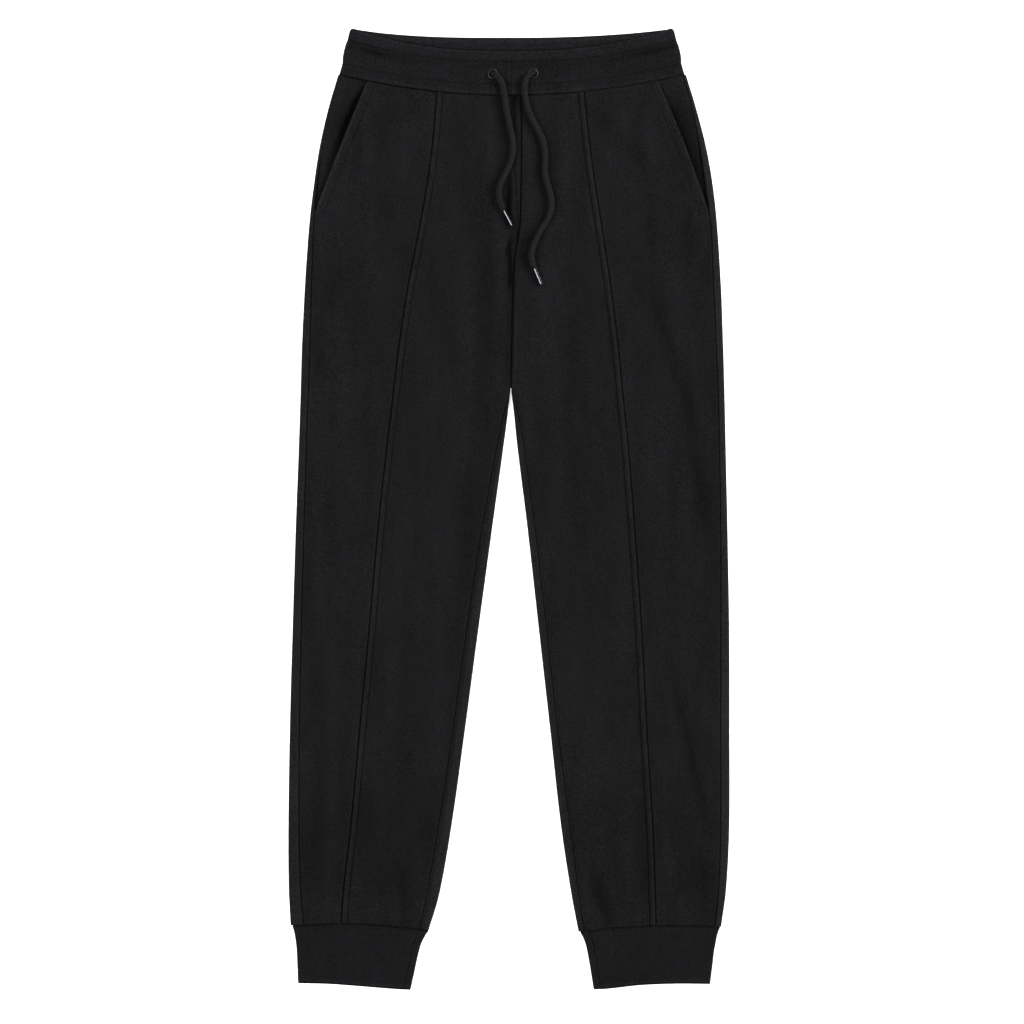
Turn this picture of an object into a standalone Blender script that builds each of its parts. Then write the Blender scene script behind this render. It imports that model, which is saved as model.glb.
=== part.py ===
"""Jogger sweatpants laid flat on their back.

+X is across the garment, +Y runs towards the waist and +Z is up. The origin is under the middle of the
garment, on the surface that it lies on. The tables hold millimetres: "down" is the distance below the
top of the waistband, and "out" is the distance from the middle of the garment towards that leg's side.
"""

import bisect
import math
from collections import namedtuple

import bmesh
import bpy
from mathutils import Vector

MM = 0.001

# The garment
LENGTH = 1020.0
WAIST_SEAM = 49.0
WAIST_DROP_FRONT = 22.0
WAIST_DROP_BACK = 9.0
CROTCH = 381.0
HEM = 951.0

# Cloth and the way it lies
FLEECE = 1.6
FACING = 1.4
PARTING = 0.3
FRONT_HEIGHT = 5.4
LOWEST_FRONT = 3.6
HIGHEST_FRONT = 6.9
FOLD_RADIUS = 3.0
CROTCH_RADIUS = 1.8
CROTCH_LENGTH = 60.0
CROTCH_CREASE = 1.8
CREASE_WIDTH = 8.0
WAIST_REACH = 190.0
HEM_REACH = 110.0
HEM_SWELL = 0.7
HEM_DIP = 1.3
WAIST_DIP = 0.4
POCKET_LIFT = 1.0
WELT_HEIGHT = 1.2
POCKET_END = 195.0
POCKET_LAP = 9.0
POCKET_CLEARANCE = 0.2

# Waistband
BAND_WALL = 3.9
BAND_BACK_WALL = 3.4
BAND_HEIGHT = 7.9
BAND_TOP_DROP_FRONT = 24.4
BAND_TOP_DROP_BACK = 9.6
BAND_CORNER = 0.0
BAND_SEAM_X = 2.6
BAND_TROUGH_DEPTH = 0.8
BAND_SEAM_DIP = 1.1
BAND_PINCH = 1.1
RIGHT_BAND_EXTRA = 6.4
CUTTER_CLEARANCE = 2.0

# Cuffs
CUFF_WALL = 2.3
CUFF_HEIGHT = 5.6
CUFF_TOP_DIP = 0.9
CUFF_PINCH = 0.7
CUFF_BACK_DROP = 1.4

# Drawcord
EYELET_BORE = 4.1
EYELET_WIRE = 0.65
EYELET_HOLE = 4.85
EYELET_HOLE_DEPTH = 3.4
EYELET_DIMPLE = 5.8
EYELET_DIMPLE_DEPTH = 0.7
EYELET_BARREL = 1.0
CORD_RADIUS = 3.2
CORD_END = 2.6
CORD_SQUEEZE = 0.8
CORD_SQUEEZE_LENGTH = 9.0
AGLET_RADIUS = 2.2
AGLET_LENGTH = 19.0

LegRow = namedtuple("LegRow", "down outer side_seam raised_seam")
InnerRow = namedtuple("InnerRow", "down inner inseam")
EdgeRow = namedtuple("EdgeRow", "out down")
BandRow = namedtuple("BandRow", "part half_width")
CuffRow = namedtuple("CuffRow", "part inner outer seam")
Fold = namedtuple("Fold", "x_top down_top x_end down_end width rise")

LEFT_ROWS = (
    LegRow(49, 181.2, 177.9, 74.7),
    LegRow(84, 191.5, 188.2, 77.8),
    LegRow(126, 201.0, 197.7, 81.5),
    LegRow(169, 207.5, 204.0, 87.4),
    LegRow(211, 212.3, 207.3, 94.9),
    LegRow(275, 216.8, 209.7, 107.3),
    LegRow(339, 219.9, 211.4, 116.9),
    LegRow(381, 221.1, 212.8, 121.9),
    LegRow(445, 223.2, 215.0, 129.5),
    LegRow(530, 226.4, 217.7, 138.7),
    LegRow(636, 229.7, 220.4, 148.1),
    LegRow(743, 232.7, 222.5, 158.2),
    LegRow(849, 234.3, 222.8, 168.0),
    LegRow(913, 233.8, 221.2, 175.3),
    LegRow(951, 231.8, 217.8, 178.1),
)
RIGHT_ROWS = (
    LegRow(49, 188.0, 184.4, 78.5),
    LegRow(84, 198.6, 193.9, 81.4),
    LegRow(126, 209.4, 202.4, 86.0),
    LegRow(169, 216.9, 208.8, 91.9),
    LegRow(211, 221.2, 214.3, 98.6),
    LegRow(275, 225.3, 217.3, 108.1),
    LegRow(339, 227.6, 220.1, 116.0),
    LegRow(381, 228.8, 221.8, 120.0),
    LegRow(445, 230.2, 223.3, 126.6),
    LegRow(530, 232.1, 224.8, 133.3),
    LegRow(636, 233.9, 224.9, 140.7),
    LegRow(743, 234.1, 224.6, 146.2),
    LegRow(849, 233.9, 224.7, 152.7),
    LegRow(913, 230.7, 222.5, 155.0),
    LegRow(951, 225.6, 218.8, 156.2),
)
LEFT_INNER = (
    InnerRow(381, -2.0, 0.0),
    InnerRow(412, 1.6, 4.6),
    InnerRow(445, 5.9, 7.1),
    InnerRow(530, 17.7, 10.8),
    InnerRow(636, 32.2, 12.3),
    InnerRow(743, 46.5, 12.7),
    InnerRow(849, 61.4, 13.5),
    InnerRow(913, 73.7, 13.0),
    InnerRow(951, 85.4, 9.9),
)
RIGHT_INNER = (
    InnerRow(381, 2.0, 0.0),
    InnerRow(412, 5.6, 4.8),
    InnerRow(445, 9.0, 7.1),
    InnerRow(530, 19.6, 8.2),
    InnerRow(636, 31.5, 8.4),
    InnerRow(743, 43.6, 8.2),
    InnerRow(849, 55.6, 9.7),
    InnerRow(913, 66.2, 8.0),
    InnerRow(951, 73.9, 6.6),
)
# Centre-front seam: the distance to the right of the middle, at each distance down.
CENTRE_SEAM = (
    EdgeRow(13.4, 49),
    EdgeRow(13.4, 110),
    EdgeRow(12.9, 165),
    EdgeRow(11.3, 211),
    EdgeRow(6.3, 242),
    EdgeRow(4.3, 275),
    EdgeRow(3.0, 330),
    EdgeRow(2.0, 381),
)
# The mouth of each slant pocket, from the waistband to the side seam.
LEFT_MOUTH = (EdgeRow(150.5, 56), EdgeRow(175.4, 117), EdgeRow(206.3, 195))
RIGHT_MOUTH = (EdgeRow(158.0, 56), EdgeRow(184.0, 117), EdgeRow(212.5, 195))
LEFT_HEM = (EdgeRow(85, 957.6), EdgeRow(120, 953.4), EdgeRow(170, 950.2), EdgeRow(228, 952.0))
RIGHT_HEM = (EdgeRow(78, 958.6), EdgeRow(115, 954.8), EdgeRow(160, 952.3), EdgeRow(224, 953.4))
LEFT_CUFF_END = (EdgeRow(105, 1019.2), EdgeRow(121, 1018.4), EdgeRow(188, 1013.2), EdgeRow(223, 1012.2))
RIGHT_CUFF_END = (
    EdgeRow(91, 1018.6),
    EdgeRow(104, 1018.2),
    EdgeRow(140, 1014.3),
    EdgeRow(177, 1012.8),
    EdgeRow(213, 1013.0),
)
# Left half of the waistband, from its top edge (0) to its seam (1). The right half is a little wider.
LEFT_BAND = (
    BandRow(0.0, 168.2),
    BandRow(0.12, 169.8),
    BandRow(0.27, 171.8),
    BandRow(0.4, 174.0),
    BandRow(0.57, 176.0),
    BandRow(0.75, 176.9),
    BandRow(0.87, 178.2),
    BandRow(1.0, 180.2),
)
# Each cuff, from the hem (0) to its end (1). Seam is the distance of its own seam from the inner edge.
LEFT_CUFF = (
    CuffRow(0.0, 85.2, 230.2, 10.6),
    CuffRow(0.1, 89.3, 228.2, 8.4),
    CuffRow(0.25, 93.6, 226.6, 7.6),
    CuffRow(0.45, 96.9, 225.3, 7.2),
    CuffRow(0.7, 100.3, 224.7, 6.8),
    CuffRow(1.0, 104.6, 223.9, 6.2),
)
RIGHT_CUFF = (
    CuffRow(0.0, 75.4, 224.6, 9.6),
    CuffRow(0.1, 78.6, 222.0, 8.4),
    CuffRow(0.25, 81.8, 219.9, 7.8),
    CuffRow(0.45, 84.3, 217.7, 7.4),
    CuffRow(0.7, 87.0, 215.9, 7.1),
    CuffRow(1.0, 90.0, 213.6, 6.9),
)

# The largest folds of the front: a trough has a negative rise.
FOLDS = (
    Fold(-20, 150, -28, 420, 11, -1.3),
    Fold(-30, 400, -60, 640, 14, -1.1),
    Fold(-11, 150, -11, 300, 8, 0.8),
    Fold(56, 240, 66, 580, 12, -1.4),
    Fold(28, 270, 33, 430, 10, 0.9),
    Fold(146, 280, 203, 530, 11, -1.4),
    Fold(168, 660, 206, 840, 10, -1.3),
    Fold(84, 90, 158, 170, 8, -0.9),
    Fold(-178, 290, -168, 420, 12, 0.8),
    Fold(-208, 860, -204, 945, 12, -1.1),
    Fold(-160, 840, -156, 900, 12, -1.1),
    Fold(-113, 870, -113, 945, 9, -1.1),
    Fold(94, 890, 94, 945, 9, -1.4),
    Fold(141, 810, 141, 930, 10, -1.2),
    Fold(120, 870, 122, 920, 8, 0.9),
    Fold(166, 890, 166, 945, 7, 0.9),
)

# Route points of each cord, from its eyelet to its metal tip.
LEFT_CORD = (
    (-18.15, 462.2, 6.5),
    (-17.6, 461.85, 7.7),
    (-16.95, 461.45, 8.8),
    (-15.35, 460.5, 10.5),
    (-13.7, 459.2, 11.5),
    (-9.5, 455.0, 11.8),
    (-6.5, 448.3, 11.2),
    (-4.2, 436.7, 10.4),
    (-2.3, 421.8, 9.1),
    (0.9, 405.7, 9.1),
    (4.1, 390.7, 9.1),
    (3.8, 375.7, 9.1),
    (0.4, 364.1, 9.1),
    (-5.4, 352.6, 9.2),
    (-10.0, 341.2, 9.3),
    (-10.2, 331.5, 9.3),
    (-9.1, 325.0, 9.1),
    (-6.5, 319.4, 8.8),
    (-5.3, 317.1, 8.7),
)
LEFT_TIP = (4.1, 299.4, 8.1)
RIGHT_CORD = (
    (26.85, 462.8, 6.5),
    (26.3, 462.45, 7.7),
    (25.65, 462.05, 8.8),
    (24.1, 461.0, 10.5),
    (22.05, 459.6, 11.5),
    (18.55, 456.2, 11.8),
    (16.85, 450.0, 11.3),
    (16.95, 439.0, 10.6),
    (19.25, 427.6, 9.2),
    (23.85, 414.9, 9.0),
    (30.15, 403.3, 9.0),
    (35.95, 390.7, 9.0),
    (38.45, 375.7, 9.0),
    (38.05, 360.7, 9.0),
    (40.05, 346.9, 9.0),
    (43.95, 333.1, 9.0),
    (44.95, 320.4, 9.0),
    (41.75, 308.9, 9.0),
    (33.75, 295.6, 9.1),
    (27.65, 283.1, 9.1),
    (23.95, 270.6, 9.0),
    (24.45, 263.0, 8.9),
    (26.15, 258.0, 8.7),
    (27.15, 255.6, 8.6),
)
RIGHT_TIP = (34.55, 238.0, 8.1)
EYELET_LEFT = (-17.05, 461.5)
EYELET_RIGHT = (25.75, 462.1)

# How finely each piece is divided
LEG_LEVELS = (
    49, 62, 80, 102, 126, 150, 174, 195, 214, 238, 268, 298, 326, 350, 369, 381,
    386, 398, 418, 448, 488, 530, 574, 618, 662, 706, 750, 794, 838, 876, 904, 926, 941, 951,
)
ROUND_STEPS = 8
BACK_STEPS = 6
INNER_STEPS = (0.0, 1.1, 2.4, 4.6, 9.0)
WELT_STEPS = (0.0, 1.0, 4.5, 6.4)
WELT_EDGE = (4.5, 6.4)
CENTRE_STEPS = 5
SIDE_STEPS = 8
FACING_STEPS = 4
BAND_PARTS = (0.0, 0.03, 0.13, 0.25, 0.37, 0.64, 0.76, 0.88, 1.0)
BAND_TROUGHS = (0.25, 0.76)
BAND_FRONT_STEPS = 12
BAND_BACK_STEPS = 8
BAND_ROUND_STEPS = 6
CUFF_PARTS = (0.0, 0.1, 0.35, 0.7, 0.92, 1.0)
CUFF_FLAT_STEPS = 6
CUFF_ROUND_STEPS = 4


# ---------------------------------------------------------------- curves and surfaces


def curve_through(places, values):
    """A smooth curve that passes through every value at its place."""
    last = len(places) - 1
    slopes = []
    for i in range(last + 1):
        before = max(i - 1, 0)
        after = min(i + 1, last)
        slopes.append((values[after] - values[before]) / (places[after] - places[before]))

    def value(place):
        place = min(max(place, places[0]), places[last])
        i = min(bisect.bisect_right(places, place) - 1, last - 1)
        span = places[i + 1] - places[i]
        part = (place - places[i]) / span
        rise = values[i + 1] - values[i]
        start = slopes[i] * span
        end = slopes[i + 1] * span
        bend = 3 * rise - 2 * start - end
        twist = start + end - 2 * rise
        return values[i] + part * (start + part * (bend + part * twist))

    return value


def column(rows, place, name):
    return curve_through([getattr(row, place) for row in rows], [getattr(row, name) for row in rows])


def ease(low, high, value):
    """Rises smoothly from 0 at low to 1 at high."""
    part = min(max((value - low) / (high - low), 0.0), 1.0)
    return part * part * (3 - 2 * part)


class Leg:
    """The seam lines and edges of one half of the garment, each as a distance out at a distance down."""

    def __init__(self, name, side, rows, inner_rows, mouth, hem, cuff, cuff_end):
        self.name = name
        self.side = side
        self.outer = column(rows, "down", "outer")
        self.side_seam = column(rows, "down", "side_seam")
        self.raised_seam = column(rows, "down", "raised_seam")
        self.inner = column(inner_rows, "down", "inner")
        self.inseam = column(inner_rows, "down", "inseam")
        self.pocket_edge = column(mouth, "down", "out")
        self.hem = column(hem, "out", "down")
        self.cuff_inner = column(cuff, "part", "inner")
        self.cuff_outer = column(cuff, "part", "outer")
        self.cuff_seam = column(cuff, "part", "seam")
        self.cuff_end = column(cuff_end, "out", "down")

    def centre(self, down):
        return self.side * centre_seam(down)

    def front_edge(self, down):
        """Outer edge of the front side panel: the pocket's mouth, then the side seam."""
        if down < POCKET_END:
            return min(self.pocket_edge(down), self.side_seam(down))
        return self.side_seam(down)


centre_seam = column(CENTRE_SEAM, "down", "out")
LEFT = Leg("left", -1, LEFT_ROWS, LEFT_INNER, LEFT_MOUTH, LEFT_HEM, LEFT_CUFF, LEFT_CUFF_END)
RIGHT = Leg("right", 1, RIGHT_ROWS, RIGHT_INNER, RIGHT_MOUTH, RIGHT_HEM, RIGHT_CUFF, RIGHT_CUFF_END)


def waist_line(leg, out, front):
    """Distance down of the waistband's seam. It hangs lowest in the middle."""
    reach = min(abs(out) / leg.outer(WAIST_SEAM), 1.0)
    if front:
        return WAIST_SEAM + WAIST_DROP_FRONT * (1 - reach**2)
    return WAIST_SEAM + WAIST_DROP_BACK * (1 - reach**3)


def settle(leg, level, out, front=True):
    """Distance down of a point of a leg's level, which follows the waist seam above and the hem below."""
    above = 1 - ease(WAIST_SEAM, WAIST_SEAM + WAIST_REACH, level)
    below = ease(HEM - HEM_REACH, HEM, level)
    down = level + (waist_line(leg, out, front) - WAIST_SEAM) * above
    down += (leg.hem(out) - HEM) * below
    if level == WAIST_SEAM:
        down += PARTING / 2
    if level == HEM:
        down -= PARTING / 2
    return down


def fold_rise(fold, x, down):
    """A fold is round across, and dies away at both ends."""
    run_x = fold.x_end - fold.x_top
    run_down = fold.down_end - fold.down_top
    length = math.hypot(run_x, run_down)
    along = ((x - fold.x_top) * run_x + (down - fold.down_top) * run_down) / length**2
    if not 0 < along < 1:
        return 0.0
    across = ((x - fold.x_top) * run_down - (down - fold.down_top) * run_x) / length
    return fold.rise * math.sin(math.pi * along) * math.exp(-((across / fold.width) ** 2))


def front_height(leg, out, down):
    """Height of the upper face of the front above the surface that the garment lies on."""
    x = leg.side * out
    height = FRONT_HEIGHT + sum(fold_rise(fold, x, down) for fold in FOLDS)
    mouth = abs(out - leg.pocket_edge(down))
    height += POCKET_LIFT * (1 - ease(6, 45, mouth)) * (1 - ease(POCKET_END - 20, POCKET_END + 40, down))
    if down < CROTCH:
        reach = abs(x - centre_seam(down))
        depth = CROTCH_CREASE * ease(230, CROTCH, down)
    else:
        reach = abs(out - leg.inner(down))
        depth = CROTCH_CREASE * (1 - ease(CROTCH, CROTCH + CROTCH_LENGTH, down))
    height -= depth * math.exp(-((reach / CREASE_WIDTH) ** 2))
    hem = leg.hem(out)
    height += HEM_SWELL * ease(hem - 70, hem - 25, down) - HEM_DIP * ease(hem - 14, hem, down)
    height -= WAIST_DIP * (1 - ease(0, 10, down - waist_line(leg, out, True)))
    return min(max(height, LOWEST_FRONT), HIGHEST_FRONT)


def welt_rise(leg, out, down):
    """The seam allowance under the raised seam lifts the edge of the centre panel."""
    reach = leg.raised_seam(down) - out
    return WELT_HEIGHT * (1 - ease(*WELT_EDGE, reach)) * (0.6 + 0.4 * ease(0.0, 1.0, reach))


# ---------------------------------------------------------------- making objects


def material(name, red, green, blue, roughness, metallic=0.0):
    made = bpy.data.materials.new(name)
    made.use_nodes = True
    shader = made.node_tree.nodes["Principled BSDF"]
    shader.inputs["Base Color"].default_value = (red, green, blue, 1)
    shader.inputs["Roughness"].default_value = roughness
    shader.inputs["Metallic"].default_value = metallic
    made.diffuse_color = (red, green, blue, 1)
    return made


def add_object(name, points, faces, finish, sharp=50):
    """Points are in millimetres, with +Z up."""
    mesh = bpy.data.meshes.new(name)
    mesh.from_pydata([(x * MM, y * MM, z * MM) for x, y, z in points], [], faces)
    shaped = bmesh.new()
    shaped.from_mesh(mesh)
    bmesh.ops.recalc_face_normals(shaped, faces=shaped.faces)
    shaped.to_mesh(mesh)
    shaped.free()
    mesh.shade_smooth()
    mesh.set_sharp_from_angle(angle=math.radians(sharp))
    mesh.materials.append(finish)
    made = bpy.data.objects.new(name, mesh)
    bpy.context.scene.collection.objects.link(made)
    return made


def add_wall(name, outside, inside, finish):
    """Closes a wall of cloth between two grids of points."""
    rows = len(outside)
    columns = len(outside[0])
    points = [point for grid in (outside, inside) for row in grid for point in row]
    skin = rows * columns
    faces = []
    for i in range(rows - 1):
        for j in range(columns - 1):
            here = i * columns + j
            beside = here + 1
            faces.append((here, beside, beside + columns, here + columns))
            faces.append((skin + here + columns, skin + beside + columns, skin + beside, skin + here))
    for i in (0, rows - 1):
        for j in range(columns - 1):
            here = i * columns + j
            faces.append((here, skin + here, skin + here + 1, here + 1))
    for j in (0, columns - 1):
        for i in range(rows - 1):
            here = i * columns + j
            faces.append((here, here + columns, skin + here + columns, skin + here))
    return add_object(name, points, faces, finish)


def place(leg, out, down, z):
    return (leg.side * out, LENGTH / 2 - down, z)


# ---------------------------------------------------------------- leg panels


def fold_size(down):
    """Radius of the side folds. The two layers are pressed together at the crotch."""
    return CROTCH_RADIUS + (FOLD_RADIUS - CROTCH_RADIUS) * ease(CROTCH, CROTCH + CROTCH_LENGTH, down)


def round_point(angle, radius, top):
    """(distance in from the edge, height) on a side fold, from -90 degrees underneath to 90 on top."""
    rise = top - radius if angle > 0 else radius
    return radius * (1 - math.cos(angle)), radius + rise * math.sin(angle)


def wall_pair(leg, edge, inward, level, reach, height, angle, thick, front=True):
    """Outer and inner point of the wall. Reach is the distance in from the edge."""
    out = edge + inward * reach
    down = settle(leg, level, out, front)
    inner_out = out + inward * thick * math.cos(angle)
    return (
        place(leg, out, down, height),
        place(leg, inner_out, down, height - thick * math.sin(angle)),
    )


def fold_travel(leg, level, edge, inward, radius, angle, lip):
    """One point of a side fold: round from underneath, then along the lip on top."""
    out = edge + inward * radius
    down = settle(leg, level, out)
    if lip > 0:
        height = front_height(leg, out + inward * lip, down)
        return wall_pair(leg, edge, inward, level, radius + lip, height, math.pi / 2, FLEECE)
    reach, height = round_point(angle, radius, front_height(leg, out, down))
    return wall_pair(leg, edge, inward, level, reach, height, angle, FLEECE)


def fold_points(leg, level, edge, inward, radius, seam):
    """Points of the back's wall from under the edge, round it, to a seam that lies this far in."""
    if seam < radius:
        end = radius * (math.pi / 2 + math.acos(1 - seam / radius))
    else:
        end = radius * math.pi + seam - radius
    end -= PARTING / 2
    pairs = []
    for i in range(ROUND_STEPS + 1):
        travel = end * i / ROUND_STEPS
        angle = travel / radius - math.pi / 2
        lip = max(travel - math.pi * radius, 0.0)
        pairs.append(fold_travel(leg, level, edge, inward, radius, angle, lip))
    return pairs


def flat_end_points(leg, level, end):
    """Above the crotch the back ends flat at the centre-back seam, in as many steps as a fold has."""
    pairs = []
    for i in range(ROUND_STEPS + 1):
        reach = CROTCH_RADIUS * math.pi / 2 * (1 - i / ROUND_STEPS)
        pairs.append(wall_pair(leg, end, 1, level, reach, 0.0, -math.pi / 2, FLEECE, front=False))
    return pairs


def back_row(leg, level):
    down = settle(leg, level, leg.outer(level))
    outer_edge = leg.outer(down)
    side = fold_points(leg, level, outer_edge, -1, FOLD_RADIUS, outer_edge - leg.side_seam(down))
    side.reverse()
    if level > CROTCH:
        radius = fold_size(level)
        inner_edge = leg.inner(level)
        inner_end = inner_edge + radius
        inner = fold_points(leg, level, inner_edge, 1, radius, leg.inseam(level))
    else:
        inner_edge = leg.side * (BAND_SEAM_X + (centre_seam(CROTCH) - BAND_SEAM_X) * ease(200, CROTCH, level))
        inner_edge += PARTING / 2
        inner_end = inner_edge + CROTCH_RADIUS * math.pi / 2
        inner = flat_end_points(leg, level, inner_edge)
    start = outer_edge - FOLD_RADIUS
    bottom = []
    for i in range(1, BACK_STEPS):
        reach = start + (inner_end - start) * i / BACK_STEPS
        bottom.append(wall_pair(leg, reach, 1, level, 0.0, 0.0, -math.pi / 2, FLEECE, front=False))
    return side + bottom + inner


def add_back(leg, cloth):
    rows = [back_row(leg, level) for level in LEG_LEVELS]
    outside = [[pair[0] for pair in row] for row in rows]
    inside = [[pair[1] for pair in row] for row in rows]
    return add_wall("back_" + leg.name, outside, inside, cloth)


def seam_at(leg, line, level):
    """Where a seam line crosses a level."""
    down = settle(leg, level, line(level))
    return line(down)


def centre_row(leg, level):
    """The front centre panel, from the centre-front seam or the inseam to the raised seam."""
    end = seam_at(leg, leg.raised_seam, level) - PARTING / 2
    below = level > CROTCH
    radius = fold_size(level)
    seam = leg.inseam(level) if below else 0.0
    start_angle = math.acos(1 - seam / radius) if below and seam < radius else math.pi / 2
    if below:
        edge = leg.inner(level)
        start = edge + max(seam, radius)
    else:
        edge = seam_at(leg, leg.centre, level)
        start = edge
    arc = radius * (math.pi / 2 - start_angle)
    travels = [step + PARTING / 2 for step in INNER_STEPS]
    room = end - start + arc - WELT_STEPS[-1] - travels[-1]
    travels += [travels[-1] + room * i / CENTRE_STEPS for i in range(1, CENTRE_STEPS)]
    travels += [end - start + arc - step for step in reversed(WELT_STEPS)]
    pairs = []
    for travel in travels:
        if travel < arc:
            angle = start_angle + travel / radius
            out = edge + radius
            top = front_height(leg, out, settle(leg, level, out))
            reach, height = round_point(angle, radius, top)
            pairs.append(wall_pair(leg, edge, 1, level, reach, height, angle, FLEECE))
            continue
        out = start + travel - arc
        down = settle(leg, level, out)
        height = front_height(leg, out, down)
        upper = height + welt_rise(leg, out, down)
        pairs.append((place(leg, out, down, upper), place(leg, out, down, height - FLEECE)))
    return pairs


def add_front_centre(leg, cloth):
    rows = [centre_row(leg, level) for level in LEG_LEVELS]
    outside = [[pair[0] for pair in row] for row in rows]
    inside = [[pair[1] for pair in row] for row in rows]
    return add_wall("front_centre_" + leg.name, outside, inside, cloth)


def side_row(leg, level):
    """The front side panel, from the raised seam to the pocket's mouth or the side seam."""
    start = seam_at(leg, leg.raised_seam, level) + PARTING / 2
    end = seam_at(leg, leg.front_edge, level) - PARTING / 2
    pairs = []
    for i in range(SIDE_STEPS + 1):
        out = start + (end - start) * i / SIDE_STEPS
        down = settle(leg, level, out)
        height = front_height(leg, out, down)
        pairs.append((place(leg, out, down, height), place(leg, out, down, height - FLEECE)))
    return pairs


def add_front_side(leg, cloth):
    rows = [side_row(leg, level) for level in LEG_LEVELS]
    outside = [[pair[0] for pair in row] for row in rows]
    inside = [[pair[1] for pair in row] for row in rows]
    return add_wall("front_side_" + leg.name, outside, inside, cloth)


def facing_row(leg, level):
    """The hip piece inside the pocket's mouth. It lies under the front, and rises to the side seam."""
    mouth = seam_at(leg, leg.pocket_edge, level)
    end = seam_at(leg, leg.side_seam, level) - PARTING / 2
    start = mouth - POCKET_LAP
    pairs = []
    for i in range(FACING_STEPS + 1):
        out = start + (end - start) * i / FACING_STEPS
        down = settle(leg, level, out)
        low = FLEECE + PARTING + FACING + POCKET_CLEARANCE
        height = low + (front_height(leg, out, down) - low) * ease(1, 16, out - mouth)
        pairs.append((place(leg, out, down, height), place(leg, out, down, height - FACING)))
    return pairs


def add_pocket_facing(leg, cloth):
    rows = [facing_row(leg, level) for level in LEG_LEVELS if level <= POCKET_END]
    outside = [[pair[0] for pair in row] for row in rows]
    inside = [[pair[1] for pair in row] for row in rows]
    return add_wall("pocket_facing_" + leg.name, outside, inside, cloth)


# ---------------------------------------------------------------- waistband and cuffs


left_band = column(LEFT_BAND, "part", "half_width")


def band_edge(leg, part):
    """Half width of the waistband, from its top edge (0) to its seam (1)."""
    return left_band(part) + (RIGHT_BAND_EXTRA if leg.side > 0 else 0.0)


def band_down(leg, out, part, front):
    reach = min(abs(out) / band_edge(leg, part), 1.0)
    if front:
        top = BAND_CORNER + BAND_TOP_DROP_FRONT * (1 - reach**2.4)
        seam = WAIST_SEAM + WAIST_DROP_FRONT * (1 - reach**2)
    else:
        top = BAND_CORNER + BAND_TOP_DROP_BACK * (1 - reach**3)
        seam = WAIST_SEAM + WAIST_DROP_BACK * (1 - reach**3)
    return top + (seam - PARTING / 2 - top) * part


def band_height(part):
    """Height of the front of the band: three soft rolls between the rows of stitches and the edges."""
    height = BAND_HEIGHT
    for trough in BAND_TROUGHS:
        height -= BAND_TROUGH_DEPTH * math.exp(-(((part - trough) / 0.06) ** 2))
    return height - BAND_SEAM_DIP * ease(0.86, 1.0, part)


def band_row(leg, part):
    """Once round half of the band: the front from its seam, the side fold, and the back to its seam."""
    edge = band_edge(leg, part)
    height = band_height(part)
    radius = BAND_HEIGHT / 2
    pinch = BAND_PINCH if part == 0 else 0.0
    middle = leg.side * BAND_SEAM_X + PARTING / 2
    turn = edge - radius
    pairs = []
    for i in range(BAND_FRONT_STEPS):
        out = middle + (turn - middle) * i / BAND_FRONT_STEPS
        down = band_down(leg, out, part, True)
        low = BAND_HEIGHT - BAND_WALL
        pairs.append((place(leg, out, down, height - pinch), place(leg, out, down, low + pinch)))
    for i in range(BAND_ROUND_STEPS + 1):
        angle = math.pi / 2 - math.pi * i / BAND_ROUND_STEPS
        reach, level = round_point(angle, radius, height)
        inset = pinch * math.cos(angle)
        wall = (BAND_BACK_WALL - pinch) * math.cos(angle)
        outer_z = level - pinch * math.sin(angle)
        inner_wall = BAND_WALL + height - BAND_HEIGHT if angle > 0 else BAND_BACK_WALL
        inner_z = level - (inner_wall - pinch) * math.sin(angle)
        down = band_down(leg, edge - reach, part, angle > 0)
        pairs.append((
            place(leg, edge - reach - inset, down, outer_z),
            place(leg, edge - reach - wall, down, inner_z),
        ))
    for i in range(1, BAND_BACK_STEPS + 1):
        out = turn + (middle - turn) * i / BAND_BACK_STEPS
        down = band_down(leg, out, part, False)
        pairs.append((place(leg, out, down, pinch), place(leg, out, down, BAND_BACK_WALL - pinch)))
    return pairs


def add_waistband(leg, cloth, eyelet):
    rows = [band_row(leg, part) for part in BAND_PARTS]
    outside = [[pair[0] for pair in row] for row in rows]
    inside = [[pair[1] for pair in row] for row in rows]
    band = add_wall("waistband_" + leg.name, outside, inside, cloth)
    profile = (
        (0.0, EYELET_DIMPLE),
        (CUTTER_CLEARANCE + EYELET_DIMPLE_DEPTH, EYELET_DIMPLE),
        (CUTTER_CLEARANCE + EYELET_DIMPLE_DEPTH, EYELET_HOLE),
        (CUTTER_CLEARANCE + EYELET_HOLE_DEPTH, EYELET_HOLE),
    )
    start = (eyelet[0], eyelet[1], BAND_HEIGHT + CUTTER_CLEARANCE)
    end = (eyelet[0], eyelet[1], 0.0)
    cutter = add_turned("eyelet_cutter_" + leg.name, start, end, profile, 20, cloth)
    cutter.hide_render = True
    cutter.display_type = "WIRE"
    hole = band.modifiers.new("eyelet hole", "BOOLEAN")
    hole.operation = "DIFFERENCE"
    hole.object = cutter
    return band


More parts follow.
